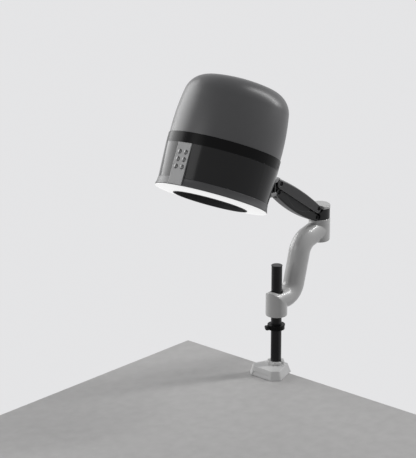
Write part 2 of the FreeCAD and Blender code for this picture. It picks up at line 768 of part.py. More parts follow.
def shoulder_hub():
    low = BARREL_TOP + BODY_GAP
    drum = cylinder(HUB_R, HUB_TOP - low, V(0, BARREL_Y, low))
    drum = rounded(drum, 1.0, lambda edge: edge.BoundBox.ZLength < 0.01)
    drum = drum.cut(crosswise(UPPER_END_R + UPPER_TURNING_GAP, UPPER_SHOULDER))
    drum = drum.cut(crosswise(LOWER_END_R + LOWER_TURNING_GAP, LOWER_SHOULDER))
    eye_low = crosswise(TONGUE_EYE_R, LOWER_SHOULDER, TONGUE_HALF)
    eye_high = crosswise(TONGUE_EYE_R, UPPER_SHOULDER, TONGUE_HALF)
    front = UPPER_SHOULDER.y - TONGUE_EYE_R
    web = polygon_x([
        (LOWER_SHOULDER.y - TONGUE_EYE_R, LOWER_SHOULDER.z), (front, UPPER_SHOULDER.z),
        (UPPER_SHOULDER.y, UPPER_SHOULDER.z + TONGUE_EYE_R - 1), (UPPER_SHOULDER.y + TONGUE_EYE_R, HUB_TOP),
        (BARREL_Y - 10, HUB_TOP - 1), (BARREL_Y - 10, low + 2),
        (LOWER_SHOULDER.y, LOWER_SHOULDER.z - TONGUE_EYE_R + 1)], TONGUE_HALF)
    hub = fused(drum, eye_low, eye_high, web)
    foot = spring_foot()
    for pivot, radius in ((LOWER_SHOULDER, PIVOT_PIN_R), (UPPER_SHOULDER, PIVOT_PIN_R), (foot, SPRING_PIN_R)):
        hub = hub.cut(crosswise(radius + SEAT_GAP, pivot))
    half = SPRING_EYE_HALF + 0.5
    slot = crosswise(SPRING_EYE_R + 3.0, foot, half)
    mouth = block(V(-half, foot.y - 40, foot.z - SPRING_EYE_R - 4), V(half, foot.y, foot.z + 40))
    hub = hub.cut(slot).cut(mouth)
    return hub.cut(cylinder(SHOULDER_PIN_R + SEAT_GAP, THROUGH, V(0, BARREL_Y, low - 1)))


def shoulder_cap():
    cap = cylinder(BARREL_R, CAP_TOP - HUB_TOP - SEAT_GAP, V(0, BARREL_Y, HUB_TOP + SEAT_GAP))
    cap = rounded(cap, CAP_EDGE_R, lambda edge: edge.BoundBox.ZMin > CAP_TOP - 0.01)
    cap = cap.cut(crosswise(UPPER_END_R + UPPER_TURNING_GAP, UPPER_SHOULDER))
    return cap.cut(cylinder(SHOULDER_PIN_R + SEAT_GAP, 7, V(0, BARREL_Y, HUB_TOP)))


def shoulder_pin():
    low = BARREL_TOP - SHOULDER_PIN_DEPTH
    return cylinder(SHOULDER_PIN_R, HUB_TOP + 6 - low, V(0, BARREL_Y, low))


def shoulder_pivots():
    upper = crosswise(PIVOT_PIN_R, UPPER_SHOULDER, UPPER_HALF - PIVOT_RECESS_DEPTH - 1)
    lower = crosswise(PIVOT_PIN_R, LOWER_SHOULDER, LOWER_HALF - LOWER_RECESS_DEPTH - 1)
    return Part.makeCompound([upper, lower, crosswise(SPRING_PIN_R, spring_foot(), TONGUE_HALF)])


# Spring arm, in the link's own frame: y runs from the shoulder to the head
def spring_foot():
    return UPPER_SHOULDER + V(0, -SPRING_FOOT_FORWARD, -SPRING_FOOT_DROP)


def upper_arch_r():
    """Radius of the upper cover's long arch, which meets both round ends."""
    half = LINK_LENGTH / 2
    return (half ** 2 + UPPER_CROWN ** 2 - UPPER_END_R ** 2) / (2 * (UPPER_CROWN - UPPER_END_R))


def is_side_edge(edge):
    return edge.BoundBox.XMin > UPPER_HALF - 0.01 or edge.BoundBox.XMax < 0.01 - UPPER_HALF


def upper_outline(shrink):
    """Side outline of the upper cover: round ends, a straight bottom and an arched top, all tangent."""
    end = UPPER_END_R - shrink
    crown = UPPER_CROWN - shrink
    half = LINK_LENGTH / 2
    arch_r = upper_arch_r() - shrink
    lean = V(0, -half, arch_r - crown).normalize() * end
    meet_a = V(0, lean.y, lean.z)
    meet_b = V(0, LINK_LENGTH - lean.y, lean.z)
    low_a, low_b = V(0, 0, -end), V(0, LINK_LENGTH, -end)
    return [
        Part.LineSegment(low_a, low_b).toShape(),
        Part.Arc(low_b, V(0, LINK_LENGTH + end, 0), meet_b).toShape(),
        Part.Arc(meet_b, V(0, half, crown), meet_a).toShape(),
        Part.Arc(meet_a, V(0, -end, 0), low_a).toShape(),
    ]


def crowned(body, shrink):
    """The body under a skin that is arched along the link and across it."""
    reach = upper_arch_r() - UPPER_CROSS_R
    centre = V(0, LINK_LENGTH / 2, UPPER_CROWN - upper_arch_r())
    return body.common(Part.makeTorus(reach, UPPER_CROSS_R - shrink, centre, X_AXIS))


def upper_cover():
    body = crowned(extrude_x(upper_outline(0), UPPER_HALF), 0)
    body = rounded(body, UPPER_EDGE_R, is_side_edge)
    inner = crowned(extrude_x(upper_outline(UPPER_WALL), UPPER_HALF - UPPER_WALL), UPPER_WALL)
    room = UPPER_HALF - UPPER_WALL
    mouth = block(V(-room, -UPPER_END_R - 1, -UPPER_END_R - 5), V(room, LINK_LENGTH, -UPPER_END_R + 6))
    body = body.cut(inner.fuse(mouth))
    tongue_room = TONGUE_HALF + BODY_GAP
    boss_length = room - tongue_room - CHEEK_THICKNESS - SEAT_GAP
    for y in (0, LINK_LENGTH):
        outward = -1 if y == 0 else 1
        far = y + outward * (UPPER_END_R + 6)
        body = body.cut(block(V(-tongue_room, min(y, far), -30), V(tongue_room, max(y, far), 30)))
        body = body.cut(crosswise(TONGUE_EYE_R + BODY_GAP, V(0, y, 0), tongue_room))
        for side in (-1, 1):
            inwards = V(-side, 0, 0)
            boss_start = V(side * (room + 0.01), y, 0)
            boss = cylinder(PIVOT_RECESS_R + PIVOT_BOSS_WALL, boss_length, boss_start, inwards)
            recess = cylinder(PIVOT_RECESS_R, PIVOT_RECESS_DEPTH + 1, V(side * (UPPER_HALF + 1), y, 0), inwards)
            body = body.fuse(boss).cut(recess)
        body = body.cut(crosswise(PIVOT_PIN_R + RUNNING_GAP, V(0, y, 0)))
    return placed(body.removeSplitter(), LINK)


def upper_link():
    """Two steel cheeks beside the tongues, joined by a cross pin that carries the gas spring's head."""
    inside = TONGUE_HALF + BODY_GAP
    cheek = CHEEK_THICKNESS
    solids = None
    for side in (-1, 1):
        low, high = sorted((side * inside, side * (inside + cheek)))
        plate = block(V(low, 0, -CHEEK_HALF_HEIGHT), V(high, LINK_LENGTH, CHEEK_HALF_HEIGHT))
        for y in (0, LINK_LENGTH):
            plate = plate.fuse(cylinder(CHEEK_HALF_HEIGHT, cheek, V(low, y, 0), X_AXIS))
        solids = plate if solids is None else solids.fuse(plate)
    cross = cylinder(SPRING_PIN_R, 2 * inside, V(-inside, SPRING_HEAD_S, SPRING_HEAD_N), X_AXIS)
    bridge = block(V(-inside - cheek, LINK_LENGTH / 2 - 12, CHEEK_HALF_HEIGHT),
                   V(inside + cheek, LINK_LENGTH / 2 + 12, CHEEK_HALF_HEIGHT + cheek))
    frame = fused(solids, cross, bridge)
    for y in (0, LINK_LENGTH):
        frame = frame.cut(crosswise(PIVOT_PIN_R + RUNNING_GAP, V(0, y, 0)))
    return placed(frame, LINK)


def lower_outline(shrink):
    """Side outline of the lower cover: a boat with round ends, bowed below its pivots."""
    end = LOWER_END_R - shrink
    keel = LOWER_CROWN - shrink
    start, stop = LOWER_S, LOWER_S + LINK_LENGTH
    middle = (start + stop) / 2
    z = LOWER_N
    top = z + LOWER_TOP
    reach = sqrt(end ** 2 - LOWER_TOP ** 2)
    curves = [
        Part.Arc(V(0, start - reach, top), V(0, start - end, z), V(0, start, z - end)),
        Part.Arc(V(0, start, z - end), V(0, middle, z - keel), V(0, stop, z - end)),
        Part.Arc(V(0, stop, z - end), V(0, stop + end, z), V(0, stop + reach, top)),
        Part.LineSegment(V(0, stop + reach, top), V(0, start - reach, top)),
    ]
    return [curve.toShape() for curve in curves]


def lower_pocket(side):
    """The shallow bowed pocket in a side of the lower cover, open at its top edge."""
    middle = LOWER_S + LINK_LENGTH / 2
    top = LOWER_N + LOWER_TOP
    ends = [V(0, middle + sign * LOWER_POCKET_HALF_LENGTH, top) for sign in (-1, 1)]
    bow = Part.Arc(ends[0], V(0, middle, LOWER_N - LOWER_POCKET_DROP), ends[1]).toShape()
    above = [point + V(0, 0, LOWER_TOP) for point in ends]
    rim = Part.makePolygon([ends[1], above[1], above[0], ends[0]])
    pocket = extrude_x([bow] + rim.Edges, LOWER_POCKET_DEPTH)
    pocket.translate(V(side * LOWER_HALF, 0, 0))
    return pocket


def is_keel_edge(edge):
    box = edge.BoundBox
    return box.XLength < 0.01 and box.YLength > LINK_LENGTH / 2 and box.ZMin < LOWER_N - LOWER_END_R + 0.1


def lower_trough(half):
    """The hollow of the lower cover, open above and at both ends, with a floor that follows the keel."""
    start, stop = LOWER_S, LOWER_S + LINK_LENGTH
    near, far = start - 2 * LOWER_END_R, stop + 2 * LOWER_END_R
    floor = LOWER_N - LOWER_END_R + LOWER_WALL
    keel = LOWER_N - LOWER_CROWN + LOWER_WALL
    above = LOWER_N + 2 * LOWER_CROWN
    curves = [
        Part.LineSegment(V(0, near, above), V(0, near, floor)),
        Part.LineSegment(V(0, near, floor), V(0, start, floor)),
        Part.Arc(V(0, start, floor), V(0, (start + stop) / 2, keel), V(0, stop, floor)),
        Part.LineSegment(V(0, stop, floor), V(0, far, floor)),
        Part.LineSegment(V(0, far, floor), V(0, far, above)),
        Part.LineSegment(V(0, far, above), V(0, near, above)),
    ]
    return extrude_x([curve.toShape() for curve in curves], half)


def lower_cover():
    body = extrude_x(lower_outline(0), LOWER_HALF)
    start, stop = LOWER_S, LOWER_S + LINK_LENGTH
    body = rounded(body, LOWER_EDGE_R, is_keel_edge)
    inside = LOWER_HALF - LOWER_WALL
    body = body.cut(lower_trough(inside)).cut(lower_pocket(-1)).cut(lower_pocket(1))
    tongue_room = TONGUE_HALF + BODY_GAP
    for y in (start, stop):
        outward = -1 if y == start else 1
        near = y - outward * (TONGUE_EYE_R + 2)
        far = y + outward * (LOWER_END_R + 6)
        low, high = sorted((near, far))
        body = body.cut(block(V(-tongue_room, low, LOWER_N - 40), V(tongue_room, high, LOWER_N + 40)))
        for side in (-1, 1):
            inwards = V(-side, 0, 0)
            boss_r = LOWER_RECESS_R + LOWER_BOSS_WALL
            boss = cylinder(boss_r, inside - tongue_room, V(side * inside, y, LOWER_N), inwards)
            recess_start = V(side * (LOWER_HALF + 1), y, LOWER_N)
            recess = cylinder(LOWER_RECESS_R, LOWER_RECESS_DEPTH + 1, recess_start, inwards)
            body = body.fuse(boss).cut(recess)
        gap = RUNNING_GAP if y == start else BODY_GAP
        body = body.cut(crosswise(PIVOT_PIN_R + gap, V(0, y, LOWER_N)))
    return placed(body.removeSplitter(), LINK)


def spring_frame():
    """Origin at the gas spring's foot on the shoulder, +Z along the spring to its head."""
    foot = spring_foot()
    head = LINK.multVec(V(0, SPRING_HEAD_S, SPRING_HEAD_N))
    along = (head - foot).normalize()
    return FreeCAD.Placement(foot, FreeCAD.Rotation(V(1, 0, 0), V(0, 0, 0), along, "ZXY")), (head - foot).Length


def gas_spring():
    frame, length = spring_frame()
    foot, head = V(0, 0, 0), V(0, 0, length)
    tube_low = length - SPRING_EYE_R - SPRING_TUBE_LENGTH
    body = cylinder(SPRING_TUBE_R, SPRING_TUBE_LENGTH, V(0, 0, tube_low))
    bore = cylinder(SPRING_TUBE_R - SPRING_TUBE_WALL, SPRING_TUBE_LENGTH, V(0, 0, tube_low - 4))
    neck = cylinder(SPRING_NECK_R, SPRING_EYE_R + 2, V(0, 0, length - SPRING_EYE_R - 4))
    tube_part = fused(body.cut(bore), neck, crosswise(SPRING_EYE_R, head, SPRING_EYE_HALF))
    rod_part = fused(cylinder(SPRING_ROD_R, SPRING_ROD_LENGTH), crosswise(SPRING_EYE_R, foot, SPRING_EYE_HALF))
    tube_part = tube_part.cut(crosswise(SPRING_PIN_R + RUNNING_GAP, head))
    rod_part = rod_part.cut(crosswise(SPRING_PIN_R + RUNNING_GAP, foot))
    return placed(tube_part, frame), placed(rod_part, frame)


# Head carrier
def end_bracket():
    web_front = YAW_Y + YAW_HUB_R + BODY_GAP
    web_back = web_front + YAW_WEB
    tongue = fused(
        crosswise(TONGUE_EYE_R, UPPER_HEAD, TONGUE_HALF),
        crosswise(TONGUE_EYE_R, LOWER_HEAD, TONGUE_HALF),
        polygon_x([(web_front, YAW_PLATE_BOTTOM), (LOWER_HEAD.y, LOWER_HEAD.z - TONGUE_EYE_R + 1),
                   (LOWER_HEAD.y + TONGUE_EYE_R, LOWER_HEAD.z), (UPPER_HEAD.y + TONGUE_EYE_R, UPPER_HEAD.z),
                   (UPPER_HEAD.y, UPPER_HEAD.z + TONGUE_EYE_R - 1), (web_front, YAW_PLATE_TOP)], TONGUE_HALF))
    web_half = YAW_PLATE_R - 3
    shapes = [tongue, block(V(-web_half, web_front, YAW_PLATE_BOTTOM), V(web_half, web_back, YAW_PLATE_TOP))]
    turning_room = crosswise(UPPER_END_R + UPPER_TURNING_GAP, UPPER_HEAD)
    top_plate_z = YAW_PLATE_TOP - YAW_PLATE_THICKNESS
    for z, back in ((YAW_PLATE_BOTTOM, web_back), (top_plate_z, UPPER_HEAD.y - YAW_LIP_INSET)):
        plate = cylinder(YAW_PLATE_R, YAW_PLATE_THICKNESS, V(0, YAW_Y, z))
        arm = block(V(-YAW_PLATE_R, YAW_Y, z), V(YAW_PLATE_R, back, z + YAW_PLATE_THICKNESS))
        plate = rounded(fused(plate, arm), 2.0, lambda edge: edge.BoundBox.ZLength < 0.01)
        shapes.append(plate.cut(turning_room))
    bracket = fused(*shapes)
    for pivot in (UPPER_HEAD, LOWER_HEAD):
        bracket = bracket.cut(crosswise(PIVOT_PIN_R + SEAT_GAP, pivot))
    return bracket.cut(cylinder(YAW_PIN_R + SEAT_GAP, THROUGH, V(0, YAW_Y, YAW_PLATE_BOTTOM - THROUGH / 2)))


def head_pivots():
    upper = crosswise(PIVOT_PIN_R, UPPER_HEAD, UPPER_HALF - PIVOT_RECESS_DEPTH - 1)
    lower = crosswise(PIVOT_PIN_R, LOWER_HEAD, LOWER_HALF - LOWER_RECESS_DEPTH - 1)
    return Part.makeCompound([upper, lower])


def yaw_pin():
    return cylinder(YAW_PIN_R, YAW_PLATE_TOP - YAW_PLATE_BOTTOM - 2, V(0, YAW_Y, YAW_PLATE_BOTTOM + 1))


def yaw_block():
    low = YAW_PLATE_BOTTOM + YAW_PLATE_THICKNESS + BODY_GAP
    high = YAW_PLATE_TOP - YAW_PLATE_THICKNESS - BODY_GAP
    hub = cylinder(YAW_HUB_R, high - low, V(0, 0, low))
    tilt = V(0, -TILT_ARM, TILT_Z)
    half, rise = TILT_LUG_HALF, TILT_LUG_R - 1
    neck = block(V(-half, -TILT_ARM, TILT_Z - rise), V(half, 0, TILT_Z + rise))
    body = fused(hub, crosswise(TILT_LUG_R, tilt, half), neck)
    body = body.cut(cylinder(YAW_PIN_R + RUNNING_GAP, THROUGH, V(0, 0, low - THROUGH / 2)))
    return placed(body.cut(crosswise(TILT_PIN_R + RUNNING_GAP, tilt)), YAW)


def flange_y():
    """Outer face of the roll flange, measured from the tilt pin towards the head."""
    return BODY_GAP - HEAD_STANDOFF


def tilt_fork():
    inside = TILT_LUG_HALF + BODY_GAP
    face = flange_y()
    shapes = [cylinder(ROLL_FLANGE_R, ROLL_FLANGE_THICKNESS, V(0, face, 0), Y_AXIS)]
    for side in (-1, 1):
        low, high = sorted((side * inside, side * TILT_FORK_HALF))
        shapes.append(cylinder(TILT_FORK_R, high - low, V(low, 0, 0), X_AXIS))
        shapes.append(block(V(low, face + 1, -TILT_FORK_R), V(high, 0, TILT_FORK_R)))
    fork = fused(*shapes)
    fork = fork.cut(crosswise(TILT_PIN_R + SEAT_GAP, V(0, 0, 0)))
    return placed(fork.cut(cylinder(ROLL_PIN_R + SEAT_GAP, THROUGH, V(0, -THROUGH / 2, 0), Y_AXIS)), TILT)


def tilt_pin():
    pin = crosswise(TILT_PIN_R, V(0, 0, 0), TILT_FORK_HALF)
    right = cylinder(TILT_PIN_HEAD_R, TILT_PIN_HEAD, V(TILT_FORK_HALF, 0, 0), X_AXIS)
    left = cylinder(TILT_PIN_HEAD_R, TILT_PIN_HEAD, V(-TILT_FORK_HALF, 0, 0), -X_AXIS)
    return placed(fused(pin, left, right), TILT)


def roll_pin():
    start = flange_y() + ROLL_FLANGE_THICKNESS
    length = ROLL_FLANGE_THICKNESS + BODY_GAP + ROLL_PIN_DEPTH
    return placed(cylinder(ROLL_PIN_R, length, V(0, start, 0), -Y_AXIS), TILT)


# Head, in its own frame
def circle_meeting(c1, r1, c2, r2):
    """The right-hand crossing of two circles in the (radius, height) plane."""
    dx, dz = c2[0] - c1[0], c2[1] - c1[1]
    span = hypot(dx, dz)
    along = (r1 ** 2 - r2 ** 2 + span ** 2) / (2 * span)
    across = sqrt(r1 ** 2 - along ** 2)
    foot = (c1[0] + along * dx / span, c1[1] + along * dz / span)
    side = (across * dz / span, -across * dx / span)
    return max((foot[0] + side[0], foot[1] + side[1]), (foot[0] - side[0], foot[1] - side[1]))


def towards(start, end, length):
    span = hypot(end[0] - start[0], end[1] - start[1])
    return (start[0] + (end[0] - start[0]) * length / span, start[1] + (end[1] - start[1]) * length / span)


def halfway(a, b):
    return ((a[0] + b[0]) / 2, (a[1] + b[1]) / 2)


def dome_curve(inset):
    """Wall, shoulder and crown of the dome as tangent arcs, set in by a wall's thickness."""
    wall_centre = (DOME_R - DOME_WALL_R, DOME_WIDEST)
    crown_centre = (0.0, DOME_CROWN - DOME_CROWN_R)
    shoulder = circle_meeting(
        wall_centre, DOME_WALL_R - DOME_SHOULDER_R, crown_centre, DOME_CROWN_R - DOME_SHOULDER_R)
    wall_r = DOME_WALL_R - inset
    crown_r = DOME_CROWN_R - inset
    shoulder_r = DOME_SHOULDER_R - inset
    foot = (wall_centre[0] + sqrt(wall_r ** 2 - (DOME_BOTTOM - DOME_WIDEST) ** 2), DOME_BOTTOM)
    wall_end = towards(wall_centre, shoulder, wall_r)
    crown_start = towards(crown_centre, shoulder, crown_r)
    wall_middle = towards(wall_centre, halfway(foot, wall_end), wall_r)
    corner = towards(shoulder, halfway(wall_end, crown_start), shoulder_r)
    crown_middle = towards(crown_centre, (crown_start[0] / 2, crown_start[1]), crown_r)
    top = (0.0, DOME_CROWN - inset)
    return foot, wall_middle, wall_end, corner, crown_start, crown_middle, top


def arc_mark(point):
    return (point[0], point[1], "arc")


def dome_cover():
    o = dome_curve(0)
    i = dome_curve(DOME_THICKNESS)
    shell = revolve([
        o[0], arc_mark(o[1]), o[2], arc_mark(o[3]), o[4], arc_mark(o[5]), o[6],
        i[6], arc_mark(i[5]), i[4], arc_mark(i[3]), i[2], arc_mark(i[1]), i[0],
    ])
    return placed(shell, HEAD)


def intake_band():
    low, high = SHELL_TOP + SEAT_GAP, DOME_BOTTOM - SEAT_GAP
    inner = BAND_R - BAND_WALL
    band = revolve([(inner, low), (BAND_R, low), (BAND_R, high), (inner, high)])
    slot = block(V(BAND_R - 12, -BAND_SLOT_WIDTH / 2, (low + high - BAND_SLOT_HEIGHT) / 2),
                 V(BAND_R + 12, BAND_SLOT_WIDTH / 2, (low + high + BAND_SLOT_HEIGHT) / 2))
    for k in range(BAND_SLOTS):
        band = band.cut(turned(slot, 90 + BAND_SLOT_STEP * (k - (BAND_SLOTS - 1) / 2)))
    return placed(band, HEAD)


def air_filter():
    outer = BAND_R - BAND_WALL - FILTER_GAP
    low = SHELL_TOP + BAND_WALL
    high = DOME_BOTTOM - BAND_WALL
    return placed(tube(outer, outer - FILTER_THICKNESS, high - low, V(0, 0, low)), HEAD)


def panel_room(extra):
    return block(V(-PANEL_HALF - extra, -PANEL_FACE - 10, PANEL_FOOT - extra),
                 V(PANEL_HALF + extra, -PANEL_FACE + PANEL_DEPTH + extra, SHELL_TOP + extra))


def gland_cylinder(radius, start, end, z=GLAND_Z):
    angle = radians(GLAND_ANGLE)
    out = V(cos(angle), sin(angle), 0)
    return cylinder(radius, end - start, V(0, 0, z) + out * start, out)


def lower_shell():
    low = SKIRT_HEIGHT + SEAT_GAP
    shell = revolve([
        (SHELL_FOOT_R - SHELL_WALL, low), (SHELL_FOOT_R, low), (SHELL_TOP_R, SHELL_TOP),
        (SHELL_TOP_R - SHELL_WALL, SHELL_TOP)])
    shell = shell.cut(panel_room(PANEL_GAP))
    shell = shell.cut(cylinder(MOUNT_BOSS_R + PANEL_GAP, THROUGH, V(0, 0, HEAD_MOUNT_Z), Y_AXIS))
    return placed(shell.cut(gland_cylinder(GLAND_R + SEAT_GAP, 0, THROUGH)), HEAD)


def skirt_ring():
    waist = (SKIRT_TOP_R + SKIRT_WAIST_FLARE, SKIRT_WAIST_Z)
    ring = revolve([
        (RIM_R - SKIRT_WALL, 0.0), (RIM_R, 0.0), (RIM_R, RIM_LIP), arc_mark(waist),
        (SKIRT_TOP_R, SKIRT_HEIGHT), (SKIRT_TOP_R - SKIRT_WALL, SKIRT_HEIGHT)])
    return placed(ring.cut(panel_room(PANEL_GAP)), HEAD)


def diffuser():
    outer = RIM_R - DIFFUSER_INSET
    inner = OUTLET_R + SEAT_GAP
    top = -DIFFUSER_DROP
    plate = revolve([
        (inner, -OUTLET_DROP), (outer, top - DIFFUSER_THICKNESS),
        (outer, top), (inner, DIFFUSER_THICKNESS - OUTLET_DROP)])
    return placed(plate, HEAD)


def deck_ring():
    outer = SHELL_FOOT_R - SKIRT_WALL - BODY_GAP
    ring = tube(outer, OUTLET_R + SEAT_GAP, DECK_THICKNESS, V(0, 0, DECK_Z))
    return placed(ring.cut(panel_room(PANEL_GAP)), HEAD)


def led_board():
    """The ring of lamps under the deck: one board and its lamps."""
    top = DECK_Z - SEAT_GAP
    low = top - LED_BOARD_THICKNESS
    half = LED_SIZE / 2
    board = tube(LED_RING_R + LED_BOARD_HALF, LED_RING_R - LED_BOARD_HALF, LED_BOARD_THICKNESS, V(0, 0, low))
    lamp = block(V(LED_RING_R - half, -half, low - LED_HEIGHT), V(LED_RING_R + half, half, low))
    lamps = [turned(lamp, 360 * k / LED_COUNT) for k in range(LED_COUNT)]
    return placed(fused(board, *lamps), HEAD)


def mount_plate_y():
    """Where the mount's plate meets the inside of the shell."""
    return sqrt((SHELL_FOOT_R - SHELL_WALL) ** 2 - MOUNT_PLATE_R ** 2) - MOUNT_PLATE_GAP


def mount_strut():
    """The strut that ties the mount's plate to the duct."""
    end = mount_plate_y() - MOUNT_PLATE_THICKNESS - SEAT_GAP
    low, high = HEAD_MOUNT_Z - STRUT_HALF_HEIGHT, HEAD_MOUNT_Z + STRUT_HALF_HEIGHT
    body = block(V(-STRUT_HALF, OUTLET_R / 2, low), V(STRUT_HALF, end, high))
    return body.cut(cylinder(OUTLET_R - DUCT_WALL / 2, THROUGH))


def fan_duct():
    inner = OUTLET_R - DUCT_WALL
    bottom = -OUTLET_DROP - 1.0
    duct = revolve([(inner, bottom), (OUTLET_R, bottom), (OUTLET_R, DUCT_TOP), (inner, DUCT_TOP)])
    notch_low = DUCT_TOP - MOTOR_ARM_HEIGHT - SEAT_GAP
    half = MOTOR_ARM_WIDTH / 2 + SEAT_GAP
    notch = block(V(OUTLET_R - 8, -half, notch_low), V(OUTLET_R + 8, half, DUCT_TOP + 1))
    for k in range(MOTOR_ARMS):
        duct = duct.cut(turned(notch, 90 + 360 * k / MOTOR_ARMS))
    return placed(duct.fuse(mount_strut()), HEAD)


def outlet_grille():
    outer = OUTLET_R - DUCT_WALL - SEAT_GAP
    step = outer / GRILLE_RINGS
    shapes = [cylinder(step / 2, GRILLE_THICKNESS, V(0, 0, GRILLE_Z))]
    for k in range(1, GRILLE_RINGS + 1):
        radius = step * k
        shapes.append(tube(radius, radius - GRILLE_BAR, GRILLE_THICKNESS, V(0, 0, GRILLE_Z)))
    half = GRILLE_BAR / 2
    spoke = block(V(step / 2 - 1, -half, GRILLE_Z), V(outer - 1, half, GRILLE_Z + GRILLE_THICKNESS))
    for k in range(GRILLE_SPOKES):
        shapes.append(turned(spoke, 360 * k / GRILLE_SPOKES))
    return placed(fused(*shapes), HEAD)


def heater():
    """A ring frame with finned bars across the air path."""
    outer = OUTLET_R - DUCT_WALL - SEAT_GAP
    frame = tube(outer, outer - HEATER_FRAME_WALL, HEATER_HEIGHT, V(0, 0, HEATER_Z))
    inside = outer - HEATER_FRAME_WALL + 1
    pitch = 2 * inside / (HEATER_BARS + 1)
    low, high = HEATER_Z + HEATER_BAR_INSET, HEATER_Z + HEATER_HEIGHT - HEATER_BAR_INSET
    shapes = [frame]
    for k in range(HEATER_BARS):
        x = (k - (HEATER_BARS - 1) / 2) * pitch
        side = HEATER_BAR_WIDTH / 2
        half = sqrt(inside ** 2 - (abs(x) + side) ** 2) + 1
        shapes.append(block(V(x - side, -half, low), V(x + side, half, high)))
    return placed(fused(*shapes), HEAD)


def impeller():
    hub = cylinder(FAN_HUB_R, FAN_HEIGHT, V(0, 0, FAN_Z))
    blade = block(V(FAN_HUB_R - 3, -FAN_HEIGHT / 2 / sin(radians(FAN_BLADE_PITCH)), -FAN_BLADE_THICKNESS / 2),
                  V(FAN_R + 10, FAN_HEIGHT / 2 / sin(radians(FAN_BLADE_PITCH)), FAN_BLADE_THICKNESS / 2))
    blade.rotate(V(0, 0, 0), X_AXIS, FAN_BLADE_PITCH)
    blade.translate(V(0, 0, FAN_Z + FAN_HEIGHT / 2))
    limit = cylinder(FAN_R, FAN_HEIGHT - 2, V(0, 0, FAN_Z + 1))
    blade = blade.common(limit)
    blades = [turned(blade, 360 * k / FAN_BLADES) for k in range(FAN_BLADES)]
    shaft = cylinder(FAN_SHAFT_R, MOTOR_BOTTOM + MOTOR_HEIGHT - 6 - FAN_Z, V(0, 0, FAN_Z))
    return placed(fused(hub, shaft, *blades), HEAD)


def motor():
    can = cylinder(MOTOR_R, MOTOR_HEIGHT, V(0, 0, MOTOR_BOTTOM))
    can = rounded(can, 4.0, lambda edge: edge.BoundBox.ZMin > MOTOR_BOTTOM + MOTOR_HEIGHT - 0.01)
    bore = cylinder(FAN_SHAFT_R + RUNNING_GAP, MOTOR_HEIGHT - 4, V(0, 0, MOTOR_BOTTOM - 1))
    return placed(can.cut(bore), HEAD)


def motor_mount():
    """A ring round the motor with arms that rest in notches of the duct."""
    low = DUCT_TOP - MOTOR_ARM_HEIGHT
    ring = tube(MOTOR_R + SEAT_GAP + 4, MOTOR_R + SEAT_GAP, 16, V(0, 0, low - 5))
    arm = block(V(MOTOR_R + 2, -MOTOR_ARM_WIDTH / 2, low), V(OUTLET_R, MOTOR_ARM_WIDTH / 2, DUCT_TOP))
    arms = [turned(arm, 90 + 360 * k / MOTOR_ARMS) for k in range(MOTOR_ARMS)]
    return placed(fused(ring, *arms), HEAD)


def control_board():
    low = DECK_Z + DECK_THICKNESS + SEAT_GAP
    x, edge = CONTROL_BOARD_X, CONTROL_BOARD_HALF
    board = block(V(x, -edge, low), V(x + PANEL_BOARD_THICKNESS, edge, low + CONTROL_BOARD_HEIGHT))
    shapes = [board, block(V(x - CONTROL_BOARD_FOOT, -edge, low), V(x, edge, low + 2))]
    for y, z, half in ((-20, 20, 9), (8, 34, 12), (24, 14, 6)):
        chip_low = V(x - CONTROL_CHIP, y - half, low + z - half / 2)
        shapes.append(block(chip_low, V(x, y + half, low + z + half / 2)))
    return placed(fused(*shapes), HEAD)


def button_places():
    """Centres of the buttons on the panel, row by row from the top."""
    heights = [BUTTON_MIDDLE_Z + row * BUTTON_ROW for row in (1, 0, -1)]
    return [(x, z) for z in heights for x in (-BUTTON_COLUMN, BUTTON_COLUMN)]


def control_panel():
    face = -PANEL_FACE
    body = block(V(-PANEL_HALF, face, PANEL_FOOT), V(PANEL_HALF, face + PANEL_DEPTH, SHELL_TOP))
    body = rounded(body, PANEL_EDGE_R, lambda edge: edge.BoundBox.YMax < face + 0.01)
    hollow = block(V(-PANEL_HALF + PANEL_WALL, face + PANEL_WALL, PANEL_FOOT + PANEL_WALL),
                   V(PANEL_HALF - PANEL_WALL, face + PANEL_DEPTH + 1, SHELL_TOP - PANEL_WALL))
    body = body.cut(hollow)
    for x, z in button_places():
        body = body.cut(cylinder(BUTTON_R + PANEL_GAP, 20, V(x, face - 5, z), Y_AXIS))
    return placed(body, HEAD)


def button(x, z):
    """A domed cap with a flange behind the panel and a stem towards its switch."""
    flange_top = BUTTON_STEM + BUTTON_FLANGE
    top = flange_top + PANEL_GAP + PANEL_WALL + BUTTON_PROUD
    shoulder = top - BUTTON_DOME
    ball_r = (BUTTON_R ** 2 + BUTTON_DOME ** 2) / (2 * BUTTON_DOME)
    middle_r = BUTTON_R / 2
    shape = revolve([
        (0.0, 0.0), (BUTTON_STEM_R, 0.0), (BUTTON_STEM_R, BUTTON_STEM), (BUTTON_FLANGE_R, BUTTON_STEM),
        (BUTTON_FLANGE_R, flange_top), (BUTTON_R, flange_top), (BUTTON_R, shoulder),
        arc_mark((middle_r, top - ball_r + sqrt(ball_r ** 2 - middle_r ** 2))), (0.0, top),
    ])
    shape.rotate(V(0, 0, 0), X_AXIS, 90)
    shape.translate(V(x, -PANEL_FACE - BUTTON_PROUD + top, z))
    return placed(shape, HEAD)


